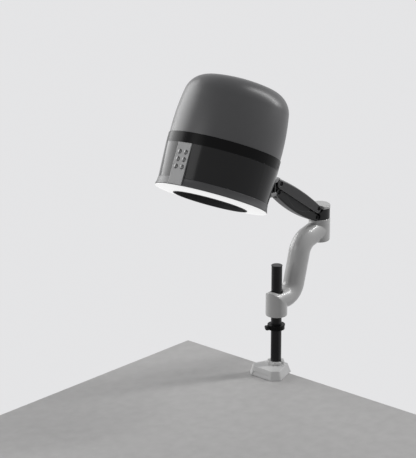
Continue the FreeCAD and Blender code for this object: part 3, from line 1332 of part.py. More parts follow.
def panel_board():
    front = -PANEL_FACE + PANEL_WALL + PANEL_GAP + BUTTON_FLANGE + BUTTON_STEM + BUTTON_TRAVEL + PANEL_GAP
    half = PANEL_HALF - PANEL_WALL - SEAT_GAP
    face = front + SWITCH_HEIGHT
    low = BUTTON_MIDDLE_Z - BUTTON_ROW - PANEL_BOARD_MARGIN
    high = BUTTON_MIDDLE_Z + BUTTON_ROW + PANEL_BOARD_MARGIN
    board = block(V(-half, face, low), V(half, face + PANEL_BOARD_THICKNESS, high))
    switches = [cylinder(SWITCH_R, SWITCH_HEIGHT, V(x, front, z), Y_AXIS) for x, z in button_places()]
    return placed(fused(board, *switches), HEAD)


def head_mount():
    """The boss that passes through the shell, with its plate inside, bored for the roll pin."""
    face = MOUNT_FACE
    plate_y = mount_plate_y()
    boss = cylinder(MOUNT_BOSS_R, face - plate_y, V(0, plate_y, HEAD_MOUNT_Z), Y_AXIS)
    boss = rounded(boss, 1.5, lambda edge: edge.BoundBox.YMin > face - 0.01)
    plate = cylinder(MOUNT_PLATE_R, MOUNT_PLATE_THICKNESS, V(0, plate_y, HEAD_MOUNT_Z), -Y_AXIS)
    bore = cylinder(ROLL_PIN_R + RUNNING_GAP, THROUGH, V(0, face - ROLL_PIN_DEPTH - 1, HEAD_MOUNT_Z), Y_AXIS)
    return placed(fused(boss, plate).cut(bore), HEAD)


def cable_gland():
    shell_r = SHELL_FOOT_R + SHELL_FLARE * (GLAND_Z - SKIRT_HEIGHT) / (SHELL_TOP - SKIRT_HEIGHT)
    body = gland_cylinder(GLAND_R, shell_r - GLAND_IN, shell_r + GLAND_OUT)
    outer_nut = gland_cylinder(GLAND_NUT_R, shell_r + 0.5, shell_r + 5)
    inner_nut = gland_cylinder(GLAND_NUT_R, shell_r - GLAND_IN, shell_r - GLAND_IN + 3.5)
    gland = fused(body, outer_nut, inner_nut)
    return placed(gland.cut(gland_cylinder(GLAND_BORE_R, shell_r - THROUGH / 2, shell_r + THROUGH / 2)), HEAD)


def buttons():
    return {"button_" + name: button(x, z) for name, (x, z) in zip(BUTTON_NAMES, button_places())}


def all_nodes():
    spring_tube, spring_rod = gas_spring()
    nodes = {
        "base_pad": base_pad(), "base_plate": base_plate(), "base_cover": base_cover(),
        "pole_socket": pole_socket(), "pole": pole(), "pole_cap": pole_cap(),
        "clamp_back": clamp_back(), "clamp_jaw": clamp_jaw(), "clamp_nut": clamp_nut(),
        "clamp_bolts": clamp_screws(), "clamp_pad": clamp_pad(), "pad_cup": pad_cup(),
        "clamp_screw": clamp_screw(), "clamp_knob": clamp_knob(),
        "stop_collar": stop_collar(), "collar_screw": collar_screw(),
        "sleeve_bush": sleeve_bush(), "s_arm": s_arm(), "barrel_bush": barrel_bush(),
        "shoulder_hub": shoulder_hub(), "shoulder_cap": shoulder_cap(), "shoulder_pin": shoulder_pin(),
        "shoulder_pivots": shoulder_pivots(), "upper_cover": upper_cover(), "upper_link": upper_link(),
        "lower_cover": lower_cover(), "gas_spring_tube": spring_tube, "gas_spring_rod": spring_rod,
        "end_bracket": end_bracket(), "head_pivots": head_pivots(), "yaw_pin": yaw_pin(),
        "yaw_block": yaw_block(), "tilt_fork": tilt_fork(), "tilt_pin": tilt_pin(), "roll_pin": roll_pin(),
        "dome_cover": dome_cover(), "intake_band": intake_band(), "air_filter": air_filter(),
        "lower_shell": lower_shell(), "skirt_ring": skirt_ring(), "diffuser": diffuser(),
        "deck_ring": deck_ring(), "led_board": led_board(), "fan_duct": fan_duct(),
        "outlet_grille": outlet_grille(), "heater": heater(), "impeller": impeller(),
        "motor": motor(), "motor_mount": motor_mount(), "control_board": control_board(),
        "control_panel": control_panel(), "panel_board": panel_board(), "head_mount": head_mount(),
        "cable_gland": cable_gland(),
    }
    nodes.update(buttons())
    return nodes


def main():
    os.makedirs("parts", exist_ok=True)
    for name, shape in all_nodes().items():
        solids = len(shape.Solids)
        print(f"{name}: {solids} solid(s), valid {shape.isValid()}, volume {shape.Volume:.0f}")
        shape.exportStep(f"parts/{name}.step")


main()
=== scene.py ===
"""Looks of a pet dryer: a lighted dome head on a spring arm and a curved post arm, clamped to a table's edge.

Metres, in the part's own frame: the origin is on the pole's axis in the plane of the table top, +Z up.
"""
import json
from math import acos, atan2, cos, hypot, pi, radians, sin, sqrt

import bmesh
import bpy
from mathutils import Matrix, Vector


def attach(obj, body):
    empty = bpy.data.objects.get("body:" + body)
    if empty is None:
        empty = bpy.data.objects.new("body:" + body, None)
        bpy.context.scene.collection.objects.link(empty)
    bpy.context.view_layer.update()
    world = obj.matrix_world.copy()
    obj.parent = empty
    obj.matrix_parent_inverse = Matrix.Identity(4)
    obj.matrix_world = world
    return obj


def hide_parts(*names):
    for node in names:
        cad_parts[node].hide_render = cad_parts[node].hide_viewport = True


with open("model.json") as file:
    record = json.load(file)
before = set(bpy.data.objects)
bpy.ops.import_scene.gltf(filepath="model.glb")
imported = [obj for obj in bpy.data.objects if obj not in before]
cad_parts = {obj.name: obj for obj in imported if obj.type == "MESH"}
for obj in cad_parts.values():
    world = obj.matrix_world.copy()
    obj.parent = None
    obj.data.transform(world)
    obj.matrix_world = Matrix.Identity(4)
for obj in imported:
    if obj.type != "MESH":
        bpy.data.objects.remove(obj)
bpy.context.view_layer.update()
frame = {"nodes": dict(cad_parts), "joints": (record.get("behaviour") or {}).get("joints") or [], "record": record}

MM = 0.001

# Head shells: radii about the head's axis and heights above its rim
RIM_R = 153.55 * MM
RIM_LIP = 1.5 * MM
SKIRT_HEIGHT = 21.0 * MM
SKIRT_TOP_R = 150.4 * MM
SKIRT_WALL = 3.0 * MM
DOME_BOTTOM = 142.0 * MM
DOME_R = 151.87 * MM
DOME_WIDEST = 160.0 * MM
DOME_WALL_R = 640.0 * MM
DOME_CROWN = 326.95 * MM
DOME_CROWN_R = 435.0 * MM
DOME_SHOULDER_R = 63.0 * MM
DOME_THICKNESS = 2.5 * MM
DOME_EDGE = 0.9 * MM
OUTLET_R = 101.55 * MM
OUTLET_DROP = 8.0 * MM
DIFFUSER_THICKNESS = 2.5 * MM
DIFFUSER_R = 152.6 * MM
FAN_HEIGHT_IN_HEAD = 158.0 * MM
LATHE_STEPS = 256
SKIRT_STEPS = 12
SKIRT_CURVE = 1.15
SKIRT_CORNER = 1.2 * MM
SKIRT_CORNER_CUT = 0.3 * MM
DIFFUSER_SEAT = 0.3 * MM

# Angles in degrees over which an edge stays sharp
NODE_SHARP = 28
PIECE_SHARP = 32
CAST_SHARP = 60

# Curved arm
CAST_GRID = 1.2 * MM
CAST_SMOOTHING = 4
CAST_PULL = 0.5

# Colours, linear
WHITE_PAINT = (0.47, 0.47, 0.465)
BASE_WHITE = (0.60, 0.60, 0.595)
DOME_GREY = (0.065, 0.065, 0.067)
# The arm covers' colours hold painted shade: dark grey for the shade on their sides, the lower cover darker still
# for the shade under the upper one
SHADED_COVER_GREY = (0.028, 0.028, 0.029)
SHADED_LOWER_GREY = (0.009, 0.009, 0.0095)
CARRIER_GREY = (0.26, 0.26, 0.262)
# Painted highlight on the rounds of the arm cover
ROUND_HIGHLIGHT_GREY = (0.15, 0.15, 0.152)
SHELL_BLACK = (0.014, 0.014, 0.0145)
BAND_BLACK = (0.004, 0.004, 0.0042)
SKIRT_GREY = (0.075, 0.075, 0.077)
PANEL_GREY = (0.27, 0.27, 0.27)
GLOSS_BLACK = (0.012, 0.012, 0.013)
MATT_BLACK = (0.022, 0.022, 0.023)
POLE_BLACK = (0.008, 0.008, 0.009)
BUTTON_DARK = (0.03, 0.03, 0.031)
STEEL = (0.5, 0.5, 0.51)
DARK_STEEL = (0.2, 0.2, 0.205)
RUBBER = (0.03, 0.03, 0.03)
BOARD_GREEN = (0.02, 0.1, 0.045)
FOAM = (0.05, 0.05, 0.05)
LAMP_WHITE = (1.0, 1.0, 1.0)
TABLE_PALE = (0.46, 0.455, 0.45)

# Surfaces
GRAIN_DEPTH = 0.4 * MM
BLOTCH_SCALE = 14.0
TONE_SCALE = 40.0
LAMP_SCALE = 60.0
LAMP_UNEVEN = 0.06
LAMP_SHEET = 0.3
LAMP_STRENGTH = 0.7
EDGE_FLAT = 0.995
EDGE_ROUND = 0.86

# Lips of the lower arm cover, along the link from its foot pivot, and the head bracket's web
LIP_HALF = 15.8 * MM
LIP_WALL = 1.6 * MM
LIP_START = 20.0 * MM
LIP_LENGTH = 158.0 * MM
LIP_LOW = 17.5 * MM
LIP_HIGH = 12.6 * MM
LIP_STEPS = 40
LIP_CORNER = 0.4 * MM
LIP_RAMP = 3.0
# Where the painted highlight lies on the arm cover's rounds, by how far the normal leans sideways
ROUND_MARKS = ((0.46, 0.0), (0.62, 1.0), (0.86, 1.0), (0.96, 0.0))
# Heights of the painted shade on the head bracket's web
WEB_LOW = 0.539
WEB_HIGH = 0.566
WEB_MARGIN = 0.01

# Slab of table under the base
TABLE_LEFT = -0.349
TABLE_RIGHT = 0.9
TABLE_FRONT = -1.5
TABLE_BACK = 0.0158
TABLE_THICKNESS = 0.03

# Light
KEY_POWER = 54.0
STRIP_POWER = 42.0
FILL_POWER = 12.0
WORLD_LIGHT = 0.55
WORLD_GREY = (0.5, 0.5, 0.51)
GROUND_PALE = (0.78, 0.78, 0.79)

# Camera
CAMERA_PLACE = (3.5300, -4.2274, 2.2218)
CAMERA_TURN = (71.9, 0.0, 41.85)
CAMERA_LENS = 165.07


# Materials
def scaled(colour, share):
    """A colour made darker or lighter, with its alpha."""
    return (*[min(part * share, 1.0) for part in colour], 1.0)


def noise(nodes, links, scale, stretch=(1, 1, 1)):
    """A noise texture in the part's own coordinates, in cells per metre."""
    place = nodes.new("ShaderNodeTexCoord")
    mapping = nodes.new("ShaderNodeMapping")
    mapping.inputs["Scale"].default_value = stretch
    texture = nodes.new("ShaderNodeTexNoise")
    texture.inputs["Scale"].default_value = scale
    texture.inputs["Detail"].default_value = 4.0
    links.new(place.outputs["Object"], mapping.inputs["Vector"])
    links.new(mapping.outputs["Vector"], texture.inputs["Vector"])
    return texture


def edge_mask(nodes, links, soft):
    """One along the edges, nought on the faces: how far a rounded normal leans away from the face's own."""
    plain = nodes.new("ShaderNodeNewGeometry")
    lean = nodes.new("ShaderNodeVectorMath")
    lean.operation = "DOT_PRODUCT"
    links.new(plain.outputs["Normal"], lean.inputs[0])
    links.new(soft.outputs["Normal"], lean.inputs[1])
    mask = nodes.new("ShaderNodeMapRange")
    mask.inputs["From Min"].default_value = EDGE_FLAT
    mask.inputs["From Max"].default_value = EDGE_ROUND
    links.new(lean.outputs["Value"], mask.inputs["Value"])
    return mask


def finish(name, colour, rough, metallic=0.0, coat=0.0, grain=900.0, relief=0.02, wear=0.06,
           stretch=(1, 1, 1), edge=0.6, rub_and_sheen=1.5, gloss=0.5, mottle=0.05):
    """A surface with softened edges painted lighter, for wear and, with a strong factor on dark pieces, a painted
    highlight; a fine grain and a sheen that varies over the piece.
    """
    material = bpy.data.materials.new(name)
    material.use_nodes = True
    nodes, links = material.node_tree.nodes, material.node_tree.links
    shader = nodes["Principled BSDF"]
    shader.inputs["Metallic"].default_value = metallic
    shader.inputs["Coat Weight"].default_value = coat
    shader.inputs["Coat Roughness"].default_value = 0.08
    shader.inputs["Specular IOR Level"].default_value = gloss
    soft = nodes.new("ShaderNodeBevel")
    soft.samples = 6
    soft.inputs["Radius"].default_value = edge * MM
    texture = noise(nodes, links, grain, stretch=stretch)
    bump = nodes.new("ShaderNodeBump")
    bump.inputs["Strength"].default_value = relief
    bump.inputs["Distance"].default_value = GRAIN_DEPTH
    links.new(texture.outputs["Fac"], bump.inputs["Height"])
    links.new(soft.outputs["Normal"], bump.inputs["Normal"])
    links.new(bump.outputs["Normal"], shader.inputs["Normal"])
    blotches = noise(nodes, links, BLOTCH_SCALE)
    spread = nodes.new("ShaderNodeMapRange")
    spread.inputs["To Min"].default_value = max(rough - wear, 0.02)
    spread.inputs["To Max"].default_value = rough + wear
    links.new(blotches.outputs["Fac"], spread.inputs["Value"])
    links.new(spread.outputs["Result"], shader.inputs["Roughness"])
    tone = nodes.new("ShaderNodeValToRGB")
    for element, position, share in zip(tone.color_ramp.elements, (0.3, 0.7), (1 - mottle, 1 + mottle)):
        element.position = position
        element.color = scaled(colour, share)
    links.new(noise(nodes, links, TONE_SCALE).outputs["Fac"], tone.inputs["Fac"])
    # Edges painted lighter: edge wear, and with a strong factor a painted highlight along the edges
    worn_and_lit = nodes.new("ShaderNodeMix")
    worn_and_lit.data_type = "RGBA"
    worn_and_lit.inputs["B"].default_value = scaled(colour, rub_and_sheen)
    mask = edge_mask(nodes, links, soft)
    links.new(mask.outputs["Result"], worn_and_lit.inputs["Factor"])
    links.new(tone.outputs["Color"], worn_and_lit.inputs["A"])
    links.new(worn_and_lit.outputs["Result"], shader.inputs["Base Color"])
    return material


def blend_colour(material, mask, colour):
    """Another colour where the mask is one, over what the surface had."""
    nodes, links = material.node_tree.nodes, material.node_tree.links
    socket = nodes["Principled BSDF"].inputs["Base Color"]
    mix = nodes.new("ShaderNodeMix")
    mix.data_type = "RGBA"
    mix.inputs["B"].default_value = (*colour, 1.0)
    links.new(mask, mix.inputs["Factor"])
    links.new(socket.links[0].from_socket, mix.inputs["A"])
    links.new(mix.outputs["Result"], socket)


def steps(nodes, marks):
    """A ramp from (place, value) marks."""
    ramp = nodes.new("ShaderNodeValToRGB")
    while len(ramp.color_ramp.elements) < len(marks):
        ramp.color_ramp.elements.new(0.5)
    for element, (place, value) in zip(ramp.color_ramp.elements, marks):
        element.position = place
        element.color = (value, value, value, 1.0)
    return ramp


def paint_round_highlight(material, colour):
    """The rounds between the sides and the back of an arm cover are painted lighter all along: a painted
    highlight.
    """
    nodes, links = material.node_tree.nodes, material.node_tree.links
    place = nodes.new("ShaderNodeTexCoord")
    split = nodes.new("ShaderNodeSeparateXYZ")
    size = nodes.new("ShaderNodeMath")
    size.operation = "ABSOLUTE"
    ramp = steps(nodes, ROUND_MARKS)
    links.new(place.outputs["Normal"], split.inputs["Vector"])
    links.new(split.outputs["X"], size.inputs[0])
    links.new(size.outputs["Value"], ramp.inputs["Fac"])
    blend_colour(material, ramp.outputs["Color"], colour)


def paint_web_shade(material, low, high, colour):
    """The web between the two plates of the head bracket is painted dark: painted shade between the plates."""
    nodes, links = material.node_tree.nodes, material.node_tree.links
    place = nodes.new("ShaderNodeTexCoord")
    split = nodes.new("ShaderNodeSeparateXYZ")
    share = nodes.new("ShaderNodeMapRange")
    share.inputs["From Min"].default_value = low - WEB_MARGIN
    share.inputs["From Max"].default_value = high + WEB_MARGIN
    first = WEB_MARGIN / (high - low + 2 * WEB_MARGIN)
    last, fade = 1 - first, 0.01
    marks = ((first - fade, 0.0), (first + fade, 1.0), (last - fade, 1.0), (last + fade, 0.0))
    ramp = steps(nodes, marks)
    links.new(place.outputs["Object"], split.inputs["Vector"])
    links.new(split.outputs["Z"], share.inputs["Value"])
    links.new(share.outputs["Result"], ramp.inputs["Fac"])
    blend_colour(material, ramp.outputs["Color"], colour)


def glow(name, colour, strength):
    """A frosted sheet lit from behind, a little uneven between its lamps."""
    material = bpy.data.materials.new(name)
    material.use_nodes = True
    nodes, links = material.node_tree.nodes, material.node_tree.links
    shader = nodes["Principled BSDF"]
    shader.inputs["Base Color"].default_value = scaled(colour, LAMP_SHEET)
    shader.inputs["Roughness"].default_value = 0.5
    shader.inputs["Emission Color"].default_value = (*colour, 1.0)
    texture = noise(nodes, links, LAMP_SCALE)
    spread = nodes.new("ShaderNodeMapRange")
    spread.inputs["To Min"].default_value = strength * (1 - LAMP_UNEVEN)
    spread.inputs["To Max"].default_value = strength * (1 + LAMP_UNEVEN)
    links.new(texture.outputs["Fac"], spread.inputs["Value"])
    links.new(spread.outputs["Result"], shader.inputs["Emission Strength"])
    return material


# On the dark pieces a strong edge factor paints a highlight along their edges
MATERIALS = {
    "rubber": finish("rubber", RUBBER, 0.8, relief=0.2),
    "steel": finish("steel", STEEL, 0.3, metallic=1.0, stretch=(1, 1, 12)),
    "white_paint": finish("white_paint", WHITE_PAINT, 0.3, coat=0.3, grain=500.0, edge=1.0, rub_and_sheen=1.05,
                          mottle=0.015),
    "base_plastic": finish("base_plastic", BASE_WHITE, 0.36, coat=0.15, edge=2.5, rub_and_sheen=1.12, mottle=0.015),
    "pole_metal": finish("pole_metal", POLE_BLACK, 0.26, gloss=0.25, stretch=(1, 1, 0.05), edge=0.8, rub_and_sheen=6.0),
    "black_gloss": finish("black_gloss", BAND_BLACK, 0.24, wear=0.02, gloss=0.09, mottle=0.02),
    "bracket_paint": finish("bracket_paint", WHITE_PAINT, 0.4),
    "screw_metal": finish("screw_metal", STEEL, 0.22, metallic=1.0),
    "knob_plastic": finish("knob_plastic", MATT_BLACK, 0.55, relief=0.1),
    "hub_black": finish("hub_black", GLOSS_BLACK, 0.22, gloss=0.3, edge=0.8, rub_and_sheen=5.0),
    # Arm covers, their colours darkened with painted shade
    "arm_cover": finish("arm_cover", SHADED_COVER_GREY, 0.36, gloss=0.35, edge=1.4, rub_and_sheen=5.0),
    "arm_lower": finish("arm_lower", SHADED_LOWER_GREY, 0.36, gloss=0.22, edge=1.4, rub_and_sheen=5.0),
    "spring_paint": finish("spring_paint", MATT_BLACK, 0.25, coat=0.4),
    "dome_plastic": finish("dome_plastic", DOME_GREY, 0.36, grain=1600.0, relief=0.05, rub_and_sheen=1.2, mottle=0.02),
    "shell_plastic": finish("shell_plastic", SHELL_BLACK, 0.15, wear=0.03, rub_and_sheen=2.0, gloss=0.2, mottle=0.02),
    "skirt_plastic": finish("skirt_plastic", SKIRT_GREY, 0.34, gloss=0.35, rub_and_sheen=1.2),
    "diffuser_glow": glow("diffuser_glow", LAMP_WHITE, LAMP_STRENGTH),
    "deck_plastic": finish("deck_plastic", SKIRT_GREY, 0.6),
    "lamp_board": finish("lamp_board", WHITE_PAINT, 0.5),
    "duct_plastic": finish("duct_plastic", MATT_BLACK, 0.45),
    "grille_black": finish("grille_black", MATT_BLACK, 0.4),
    "heater_metal": finish("heater_metal", DARK_STEEL, 0.45, metallic=1.0),
    "impeller_plastic": finish("impeller_plastic", MATT_BLACK, 0.5),
    "motor_metal": finish("motor_metal", DARK_STEEL, 0.35, metallic=1.0),
    "mount_metal": finish("mount_metal", DARK_STEEL, 0.5, metallic=1.0),
    "filter_foam": finish("filter_foam", FOAM, 0.95, grain=400.0, relief=0.6),
    "board_green": finish("board_green", BOARD_GREEN, 0.35, coat=0.5),
    "panel_plastic": finish("panel_plastic", PANEL_GREY, 0.36, metallic=0.5, edge=0.7, rub_and_sheen=1.25, mottle=0.02),
    "gland_plastic": finish("gland_plastic", MATT_BLACK, 0.5),
    "button_metal": finish("button_metal", BUTTON_DARK, 0.16, coat=0.7, edge=0.8, rub_and_sheen=4.0),
    "carrier_paint": finish("carrier_paint", CARRIER_GREY, 0.4, grain=260.0, relief=0.12, edge=1.2,
                            mottle=0.25),
    "pin_shade_black": finish("pin_shade_black", GLOSS_BLACK, 0.35, edge=0.6, rub_and_sheen=4.0),
}
# Painted highlight along the arm cover's rounds
paint_round_highlight(MATERIALS["arm_cover"], ROUND_HIGHLIGHT_GREY)
# Painted shade on the web between the head bracket's plates
paint_web_shade(MATERIALS["carrier_paint"], WEB_LOW, WEB_HIGH, MATT_BLACK)

# Nodes that look otherwise than the rest of their slot
# The pivot pins are painted black: painted shade in the recesses they sit in
FINISH_OF_NODE = {"end_bracket": "carrier_paint", "head_pivots": "pin_shade_black", "shoulder_pivots": "pin_shade_black"}


def dress_nodes():
    """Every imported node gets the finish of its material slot."""
    for part in frame["record"]["subparts"]:
        node = frame["nodes"][part["node"]]
        node.data.materials.clear()
        node.data.materials.append(MATERIALS[FINISH_OF_NODE.get(part["node"], part["material_slot"])])
        node.data.shade_smooth()
        node.data.set_sharp_from_angle(angle=radians(NODE_SHARP))


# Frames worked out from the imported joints
def joint(name):
    """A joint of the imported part, by its name."""
    return next(item for item in frame["joints"] if item["name"] == name)


def head_matrix():
    """Origin at the centre of the head's rim, +Z up the head's axis, -Y through the panel."""
    up = Vector(joint("fan_spin")["axis"]).normalized()
    back = Vector(joint("press_power")["axis"]).normalized()
    side = back.cross(up)
    origin = Vector(joint("fan_spin")["pos_m"]) - up * FAN_HEIGHT_IN_HEAD
    turn = Matrix((side, back, up)).transposed().to_4x4()
    return Matrix.Translation(origin) @ turn


HEAD = head_matrix()


# Meshes
def arc(centre, radius, start, end, steps=12):
    """Points of an arc in the (radius, height) plane, from one angle to another in radians."""
    turns = [start + (end - start) * k / steps for k in range(steps + 1)]
    return [(centre[0] + radius * cos(turn), centre[1] + radius * sin(turn)) for turn in turns]


def lathe_mesh(name, profile, matrix, steps=LATHE_STEPS):
    """A closed profile of (radius, height) points turned about the matrix's Z axis."""
    points, faces = [], []
    count = len(profile)
    for k in range(steps):
        turn = 2 * pi * k / steps
        for radius, height in profile:
            points.append(matrix @ Vector((radius * cos(turn), radius * sin(turn), height)))
        base, other = k * count, (k + 1) % steps * count
        for i in range(count):
            j = (i + 1) % count
            faces.append((base + i, other + i, other + j, base + j))
    mesh = bpy.data.meshes.new(name)
    mesh.from_pydata(points, [], faces)
    tidy(mesh)
    return mesh


def tidy(mesh):
    """Joins doubled points and turns every face outwards."""
    shape = bmesh.new()
    shape.from_mesh(mesh)
    bmesh.ops.remove_doubles(shape, verts=shape.verts, dist=1e-6)
    bmesh.ops.dissolve_degenerate(shape, edges=shape.edges, dist=1e-7)
    bmesh.ops.recalc_face_normals(shape, faces=shape.faces)
    shape.to_mesh(mesh)
    shape.free()


def piece(name, mesh, slot, body, replaces=(), sharp=PIECE_SHARP):
    """A shown piece with its finish, riding on a body of the part."""
    mesh.materials.clear()
    mesh.materials.append(MATERIALS[slot])
    mesh.shade_smooth()
    mesh.set_sharp_from_angle(angle=radians(sharp))
    item = bpy.data.objects.new(name, mesh)
    bpy.context.scene.collection.objects.link(item)
    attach(item, body)
    if replaces:
        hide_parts(*replaces)


# Head
def circle_meeting(c1, r1, c2, r2):
    """The crossing of two circles in the (radius, height) plane that lies further out."""
    dx, dz = c2[0] - c1[0], c2[1] - c1[1]
    span = hypot(dx, dz)
    along = (r1 ** 2 - r2 ** 2 + span ** 2) / (2 * span)
    across = sqrt(r1 ** 2 - along ** 2)
    options = [
        (c1[0] + (along * dx + side * across * dz) / span, c1[1] + (along * dz - side * across * dx) / span)
        for side in (-1, 1)
    ]
    return max(options)


def dome_curve(inset):
    """Wall, shoulder and crown as tangent arcs, from the foot to the top, set in by the wall's thickness."""
    wall = (DOME_R - DOME_WALL_R, DOME_WIDEST)
    crown = (0.0, DOME_CROWN - DOME_CROWN_R)
    shoulder = circle_meeting(wall, DOME_WALL_R - DOME_SHOULDER_R, crown, DOME_CROWN_R - DOME_SHOULDER_R)
    start = -acos(sqrt(1 - ((DOME_WIDEST - DOME_BOTTOM) / DOME_WALL_R) ** 2))
    lift = atan2(shoulder[1] - wall[1], shoulder[0] - wall[0])
    over = atan2(shoulder[1] - crown[1], shoulder[0] - crown[0])
    return (
        arc(wall, DOME_WALL_R - inset, start, lift, 24)[:-1]
        + arc(shoulder, DOME_SHOULDER_R - inset, lift, over, 28)[:-1]
        + arc(crown, DOME_CROWN_R - inset, over, pi / 2, 24)
    )


def dome():
    """The dome's shell with a rounded lip at its foot."""
    outer = dome_curve(0.0)
    inner = dome_curve(DOME_THICKNESS)
    foot_r = outer[0][0]
    lip = arc((foot_r - DOME_EDGE, DOME_BOTTOM + DOME_EDGE), DOME_EDGE, -pi / 2, 0.0, 5)
    outer = lip + [point for point in outer if point[1] > DOME_BOTTOM + 2 * DOME_EDGE]
    profile = outer + inner[::-1]
    piece("dome_shell", lathe_mesh("dome_shell", profile, HEAD), "dome_plastic", "head", ("dome_cover",))


def skirt():
    """The flared ring round the rim, with a rounded lip and a thin groove under the shell."""
    top = SKIRT_HEIGHT
    start = top - SKIRT_CORNER
    outer = [
        (SKIRT_TOP_R - SKIRT_CORNER, top),
        (SKIRT_TOP_R - SKIRT_CORNER_CUT, top - SKIRT_CORNER_CUT),
        (SKIRT_TOP_R, start),
    ]
    for k in range(1, SKIRT_STEPS):
        share = k / SKIRT_STEPS
        flare = (1 - cos(share * pi / 2)) ** SKIRT_CURVE
        outer.append((SKIRT_TOP_R + (RIM_R - SKIRT_TOP_R) * flare, start - (start - RIM_LIP) * share))
    lip = arc((RIM_R - RIM_LIP, RIM_LIP), RIM_LIP, 0.0, -pi / 2, 6)
    inner = [(RIM_R - SKIRT_WALL, 0.0), (SKIRT_TOP_R - SKIRT_WALL, top)]
    mesh = lathe_mesh("flared_skirt", outer + lip + inner, HEAD)
    piece("flared_skirt", mesh, "skirt_plastic", "head", ("skirt_ring",))


def ring_light():
    """The glowing ring: a shallow cone with rounded edges."""
    half = DIFFUSER_THICKNESS / 2
    outer_r, inner_r = DIFFUSER_R, OUTLET_R
    outer_z, inner_z = -DIFFUSER_SEAT - half, -OUTLET_DROP + half
    slope = atan2(outer_z - inner_z, outer_r - inner_r)
    edge_out = arc((outer_r - half, outer_z), half, slope - pi / 2, slope + pi / 2, 8)
    edge_in = arc((inner_r + half, inner_z), half, slope + pi / 2, slope + 3 * pi / 2, 8)
    mesh = lathe_mesh("glowing_ring", edge_out + edge_in, HEAD)
    piece("glowing_ring", mesh, "diffuser_glow", "head", ("diffuser",))


# Curved arm and arm covers
def curved_arm():
    """The arm's own form cast as one piece, with soft seams where sleeve, tube and barrel meet."""
    item = bpy.data.objects.new("work", frame["nodes"]["s_arm"].data.copy())
    item.matrix_world = frame["nodes"]["s_arm"].matrix_world.copy()
    bpy.context.scene.collection.objects.link(item)
    grid = item.modifiers.new("grid", "REMESH")
    grid.mode = "VOXEL"
    grid.voxel_size = CAST_GRID
    soft = item.modifiers.new("soft", "SMOOTH")
    soft.factor = CAST_PULL
    soft.iterations = CAST_SMOOTHING
    graph = bpy.context.evaluated_depsgraph_get()
    mesh = bpy.data.meshes.new_from_object(item.evaluated_get(graph))
    mesh.transform(item.matrix_world)
    mesh.name = "cast_arm"
    bpy.data.objects.remove(item)
    piece("cast_arm", mesh, "white_paint", "curved_arm", ("s_arm",), sharp=CAST_SHARP)


def cover_lips():
    """Two thin upright lips of the lower cover that reach up between the sides of the upper one."""
    start = Vector(joint("arm_lift")["pos_m"])
    along = (Vector(joint("arm_end_level")["pos_m"]) - start).normalized()
    up = Vector((1, 0, 0)).cross(along)
    if up.z < 0:
        up = -up
    shape = bmesh.new()
    for side in (-1, 1):
        rings = []
        for k in range(LIP_STEPS + 1):
            share = k / LIP_STEPS
            rise = (LIP_LOW - LIP_HIGH) * min(1.0, sin(pi * share) * LIP_RAMP)
            middle = start + along * (LIP_START + LIP_LENGTH * share)
            outline = ((0, 0), (0, rise - LIP_CORNER), (LIP_CORNER, rise), (LIP_WALL, rise), (LIP_WALL, 0))
            corners = []
            for inward, height in outline:
                across = Vector((side * (LIP_HALF - inward), 0, 0))
                corners.append(shape.verts.new(middle + up * (max(height, 0.1 * inward) - LIP_LOW) + across))
            rings.append(corners)
        for a, b in zip(rings, rings[1:]):
            for i in range(5):
                j = (i + 1) % 5
                shape.faces.new((a[i], a[j], b[j], b[i]))
        shape.faces.new(rings[0])
        shape.faces.new(rings[-1][::-1])
    mesh = bpy.data.meshes.new("cover_lips")
    bmesh.ops.recalc_face_normals(shape, faces=shape.faces)
    shape.to_mesh(mesh)
    shape.free()
    piece("cover_lips", mesh, "arm_lower", "lower_arm")


# Stage
def slab():
    """The table top that the part stands on, up to its back edge."""
    low = Vector((TABLE_LEFT, TABLE_FRONT, -TABLE_THICKNESS))
    high = Vector((TABLE_RIGHT, TABLE_BACK, 0.0))
    bpy.ops.mesh.primitive_cube_add(size=1, location=(low + high) / 2)
    table = bpy.context.object
    table.name = "table_slab"
    table.scale = high - low
    table.data.materials.append(finish("table_top", TABLE_PALE, 0.6, grain=300.0))


def lamp(name, place, target, size, power):
    """A rectangular soft light that faces its target."""
    data = bpy.data.lights.new(name, "AREA")
    data.shape = "RECTANGLE"
    data.size, data.size_y = size
    data.energy = power
    light = bpy.data.objects.new(name, data)
    light.location = place
    light.rotation_euler = (Vector(target) - Vector(place)).to_track_quat("-Z", "Y").to_euler()
    bpy.context.scene.collection.objects.link(light)


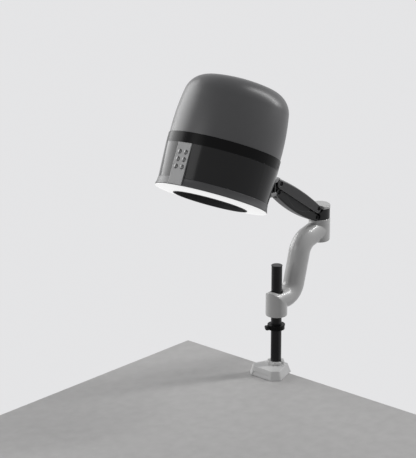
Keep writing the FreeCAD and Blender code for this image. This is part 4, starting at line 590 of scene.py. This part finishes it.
def lamps():
    """A broad soft key from the left, a long strip above and behind, and a weak fill from the front."""
    lamp("key", (-2.9, -0.5, 1.3), (0.0, -0.15, 0.6), (2.6, 2.0), KEY_POWER)
    lamp("strip", (1.0, 1.6, 2.17), (0.1, -0.17, 0.85), (0.2, 2.6), STRIP_POWER)
    lamp("fill", (-1.0, -2.9, 1.7), (0.0, -0.15, 0.45), (1.4, 1.4), FILL_POWER)


def backdrop():
    """A pale ground for what the camera, mirrors and glass see, and a dimmer one that lights the part."""
    world = bpy.data.worlds.new("studio")
    bpy.context.scene.world = world
    world.use_nodes = True
    nodes, links = world.node_tree.nodes, world.node_tree.links
    nodes.clear()
    seen = nodes.new("ShaderNodeBackground")
    seen.inputs["Color"].default_value = (*GROUND_PALE, 1.0)
    light = nodes.new("ShaderNodeBackground")
    light.inputs["Color"].default_value = (*WORLD_GREY, 1.0)
    light.inputs["Strength"].default_value = WORLD_LIGHT
    path = nodes.new("ShaderNodeLightPath")
    either = nodes.new("ShaderNodeMath")
    either.operation = "MAXIMUM"
    any_of = nodes.new("ShaderNodeMath")
    any_of.operation = "MAXIMUM"
    mix = nodes.new("ShaderNodeMixShader")
    out = nodes.new("ShaderNodeOutputWorld")
    links.new(path.outputs["Is Camera Ray"], either.inputs[0])
    links.new(path.outputs["Is Glossy Ray"], either.inputs[1])
    links.new(either.outputs["Value"], any_of.inputs[0])
    links.new(path.outputs["Is Transmission Ray"], any_of.inputs[1])
    links.new(any_of.outputs["Value"], mix.inputs["Fac"])
    links.new(light.outputs["Background"], mix.inputs[1])
    links.new(seen.outputs["Background"], mix.inputs[2])
    links.new(mix.outputs["Shader"], out.inputs["Surface"])


def camera():
    """The photograph's own view."""
    data = bpy.data.cameras.new("camera")
    data.lens = CAMERA_LENS
    data.clip_end = 100.0
    item = bpy.data.objects.new("camera", data)
    item.location = CAMERA_PLACE
    item.rotation_euler = [radians(angle) for angle in CAMERA_TURN]
    bpy.context.scene.collection.objects.link(item)
    bpy.context.scene.camera = item


dress_nodes()
dome()
skirt()
ring_light()
curved_arm()
cover_lips()
slab()
lamps()
backdrop()
camera()
bpy.context.scene.view_settings.view_transform = "Standard"
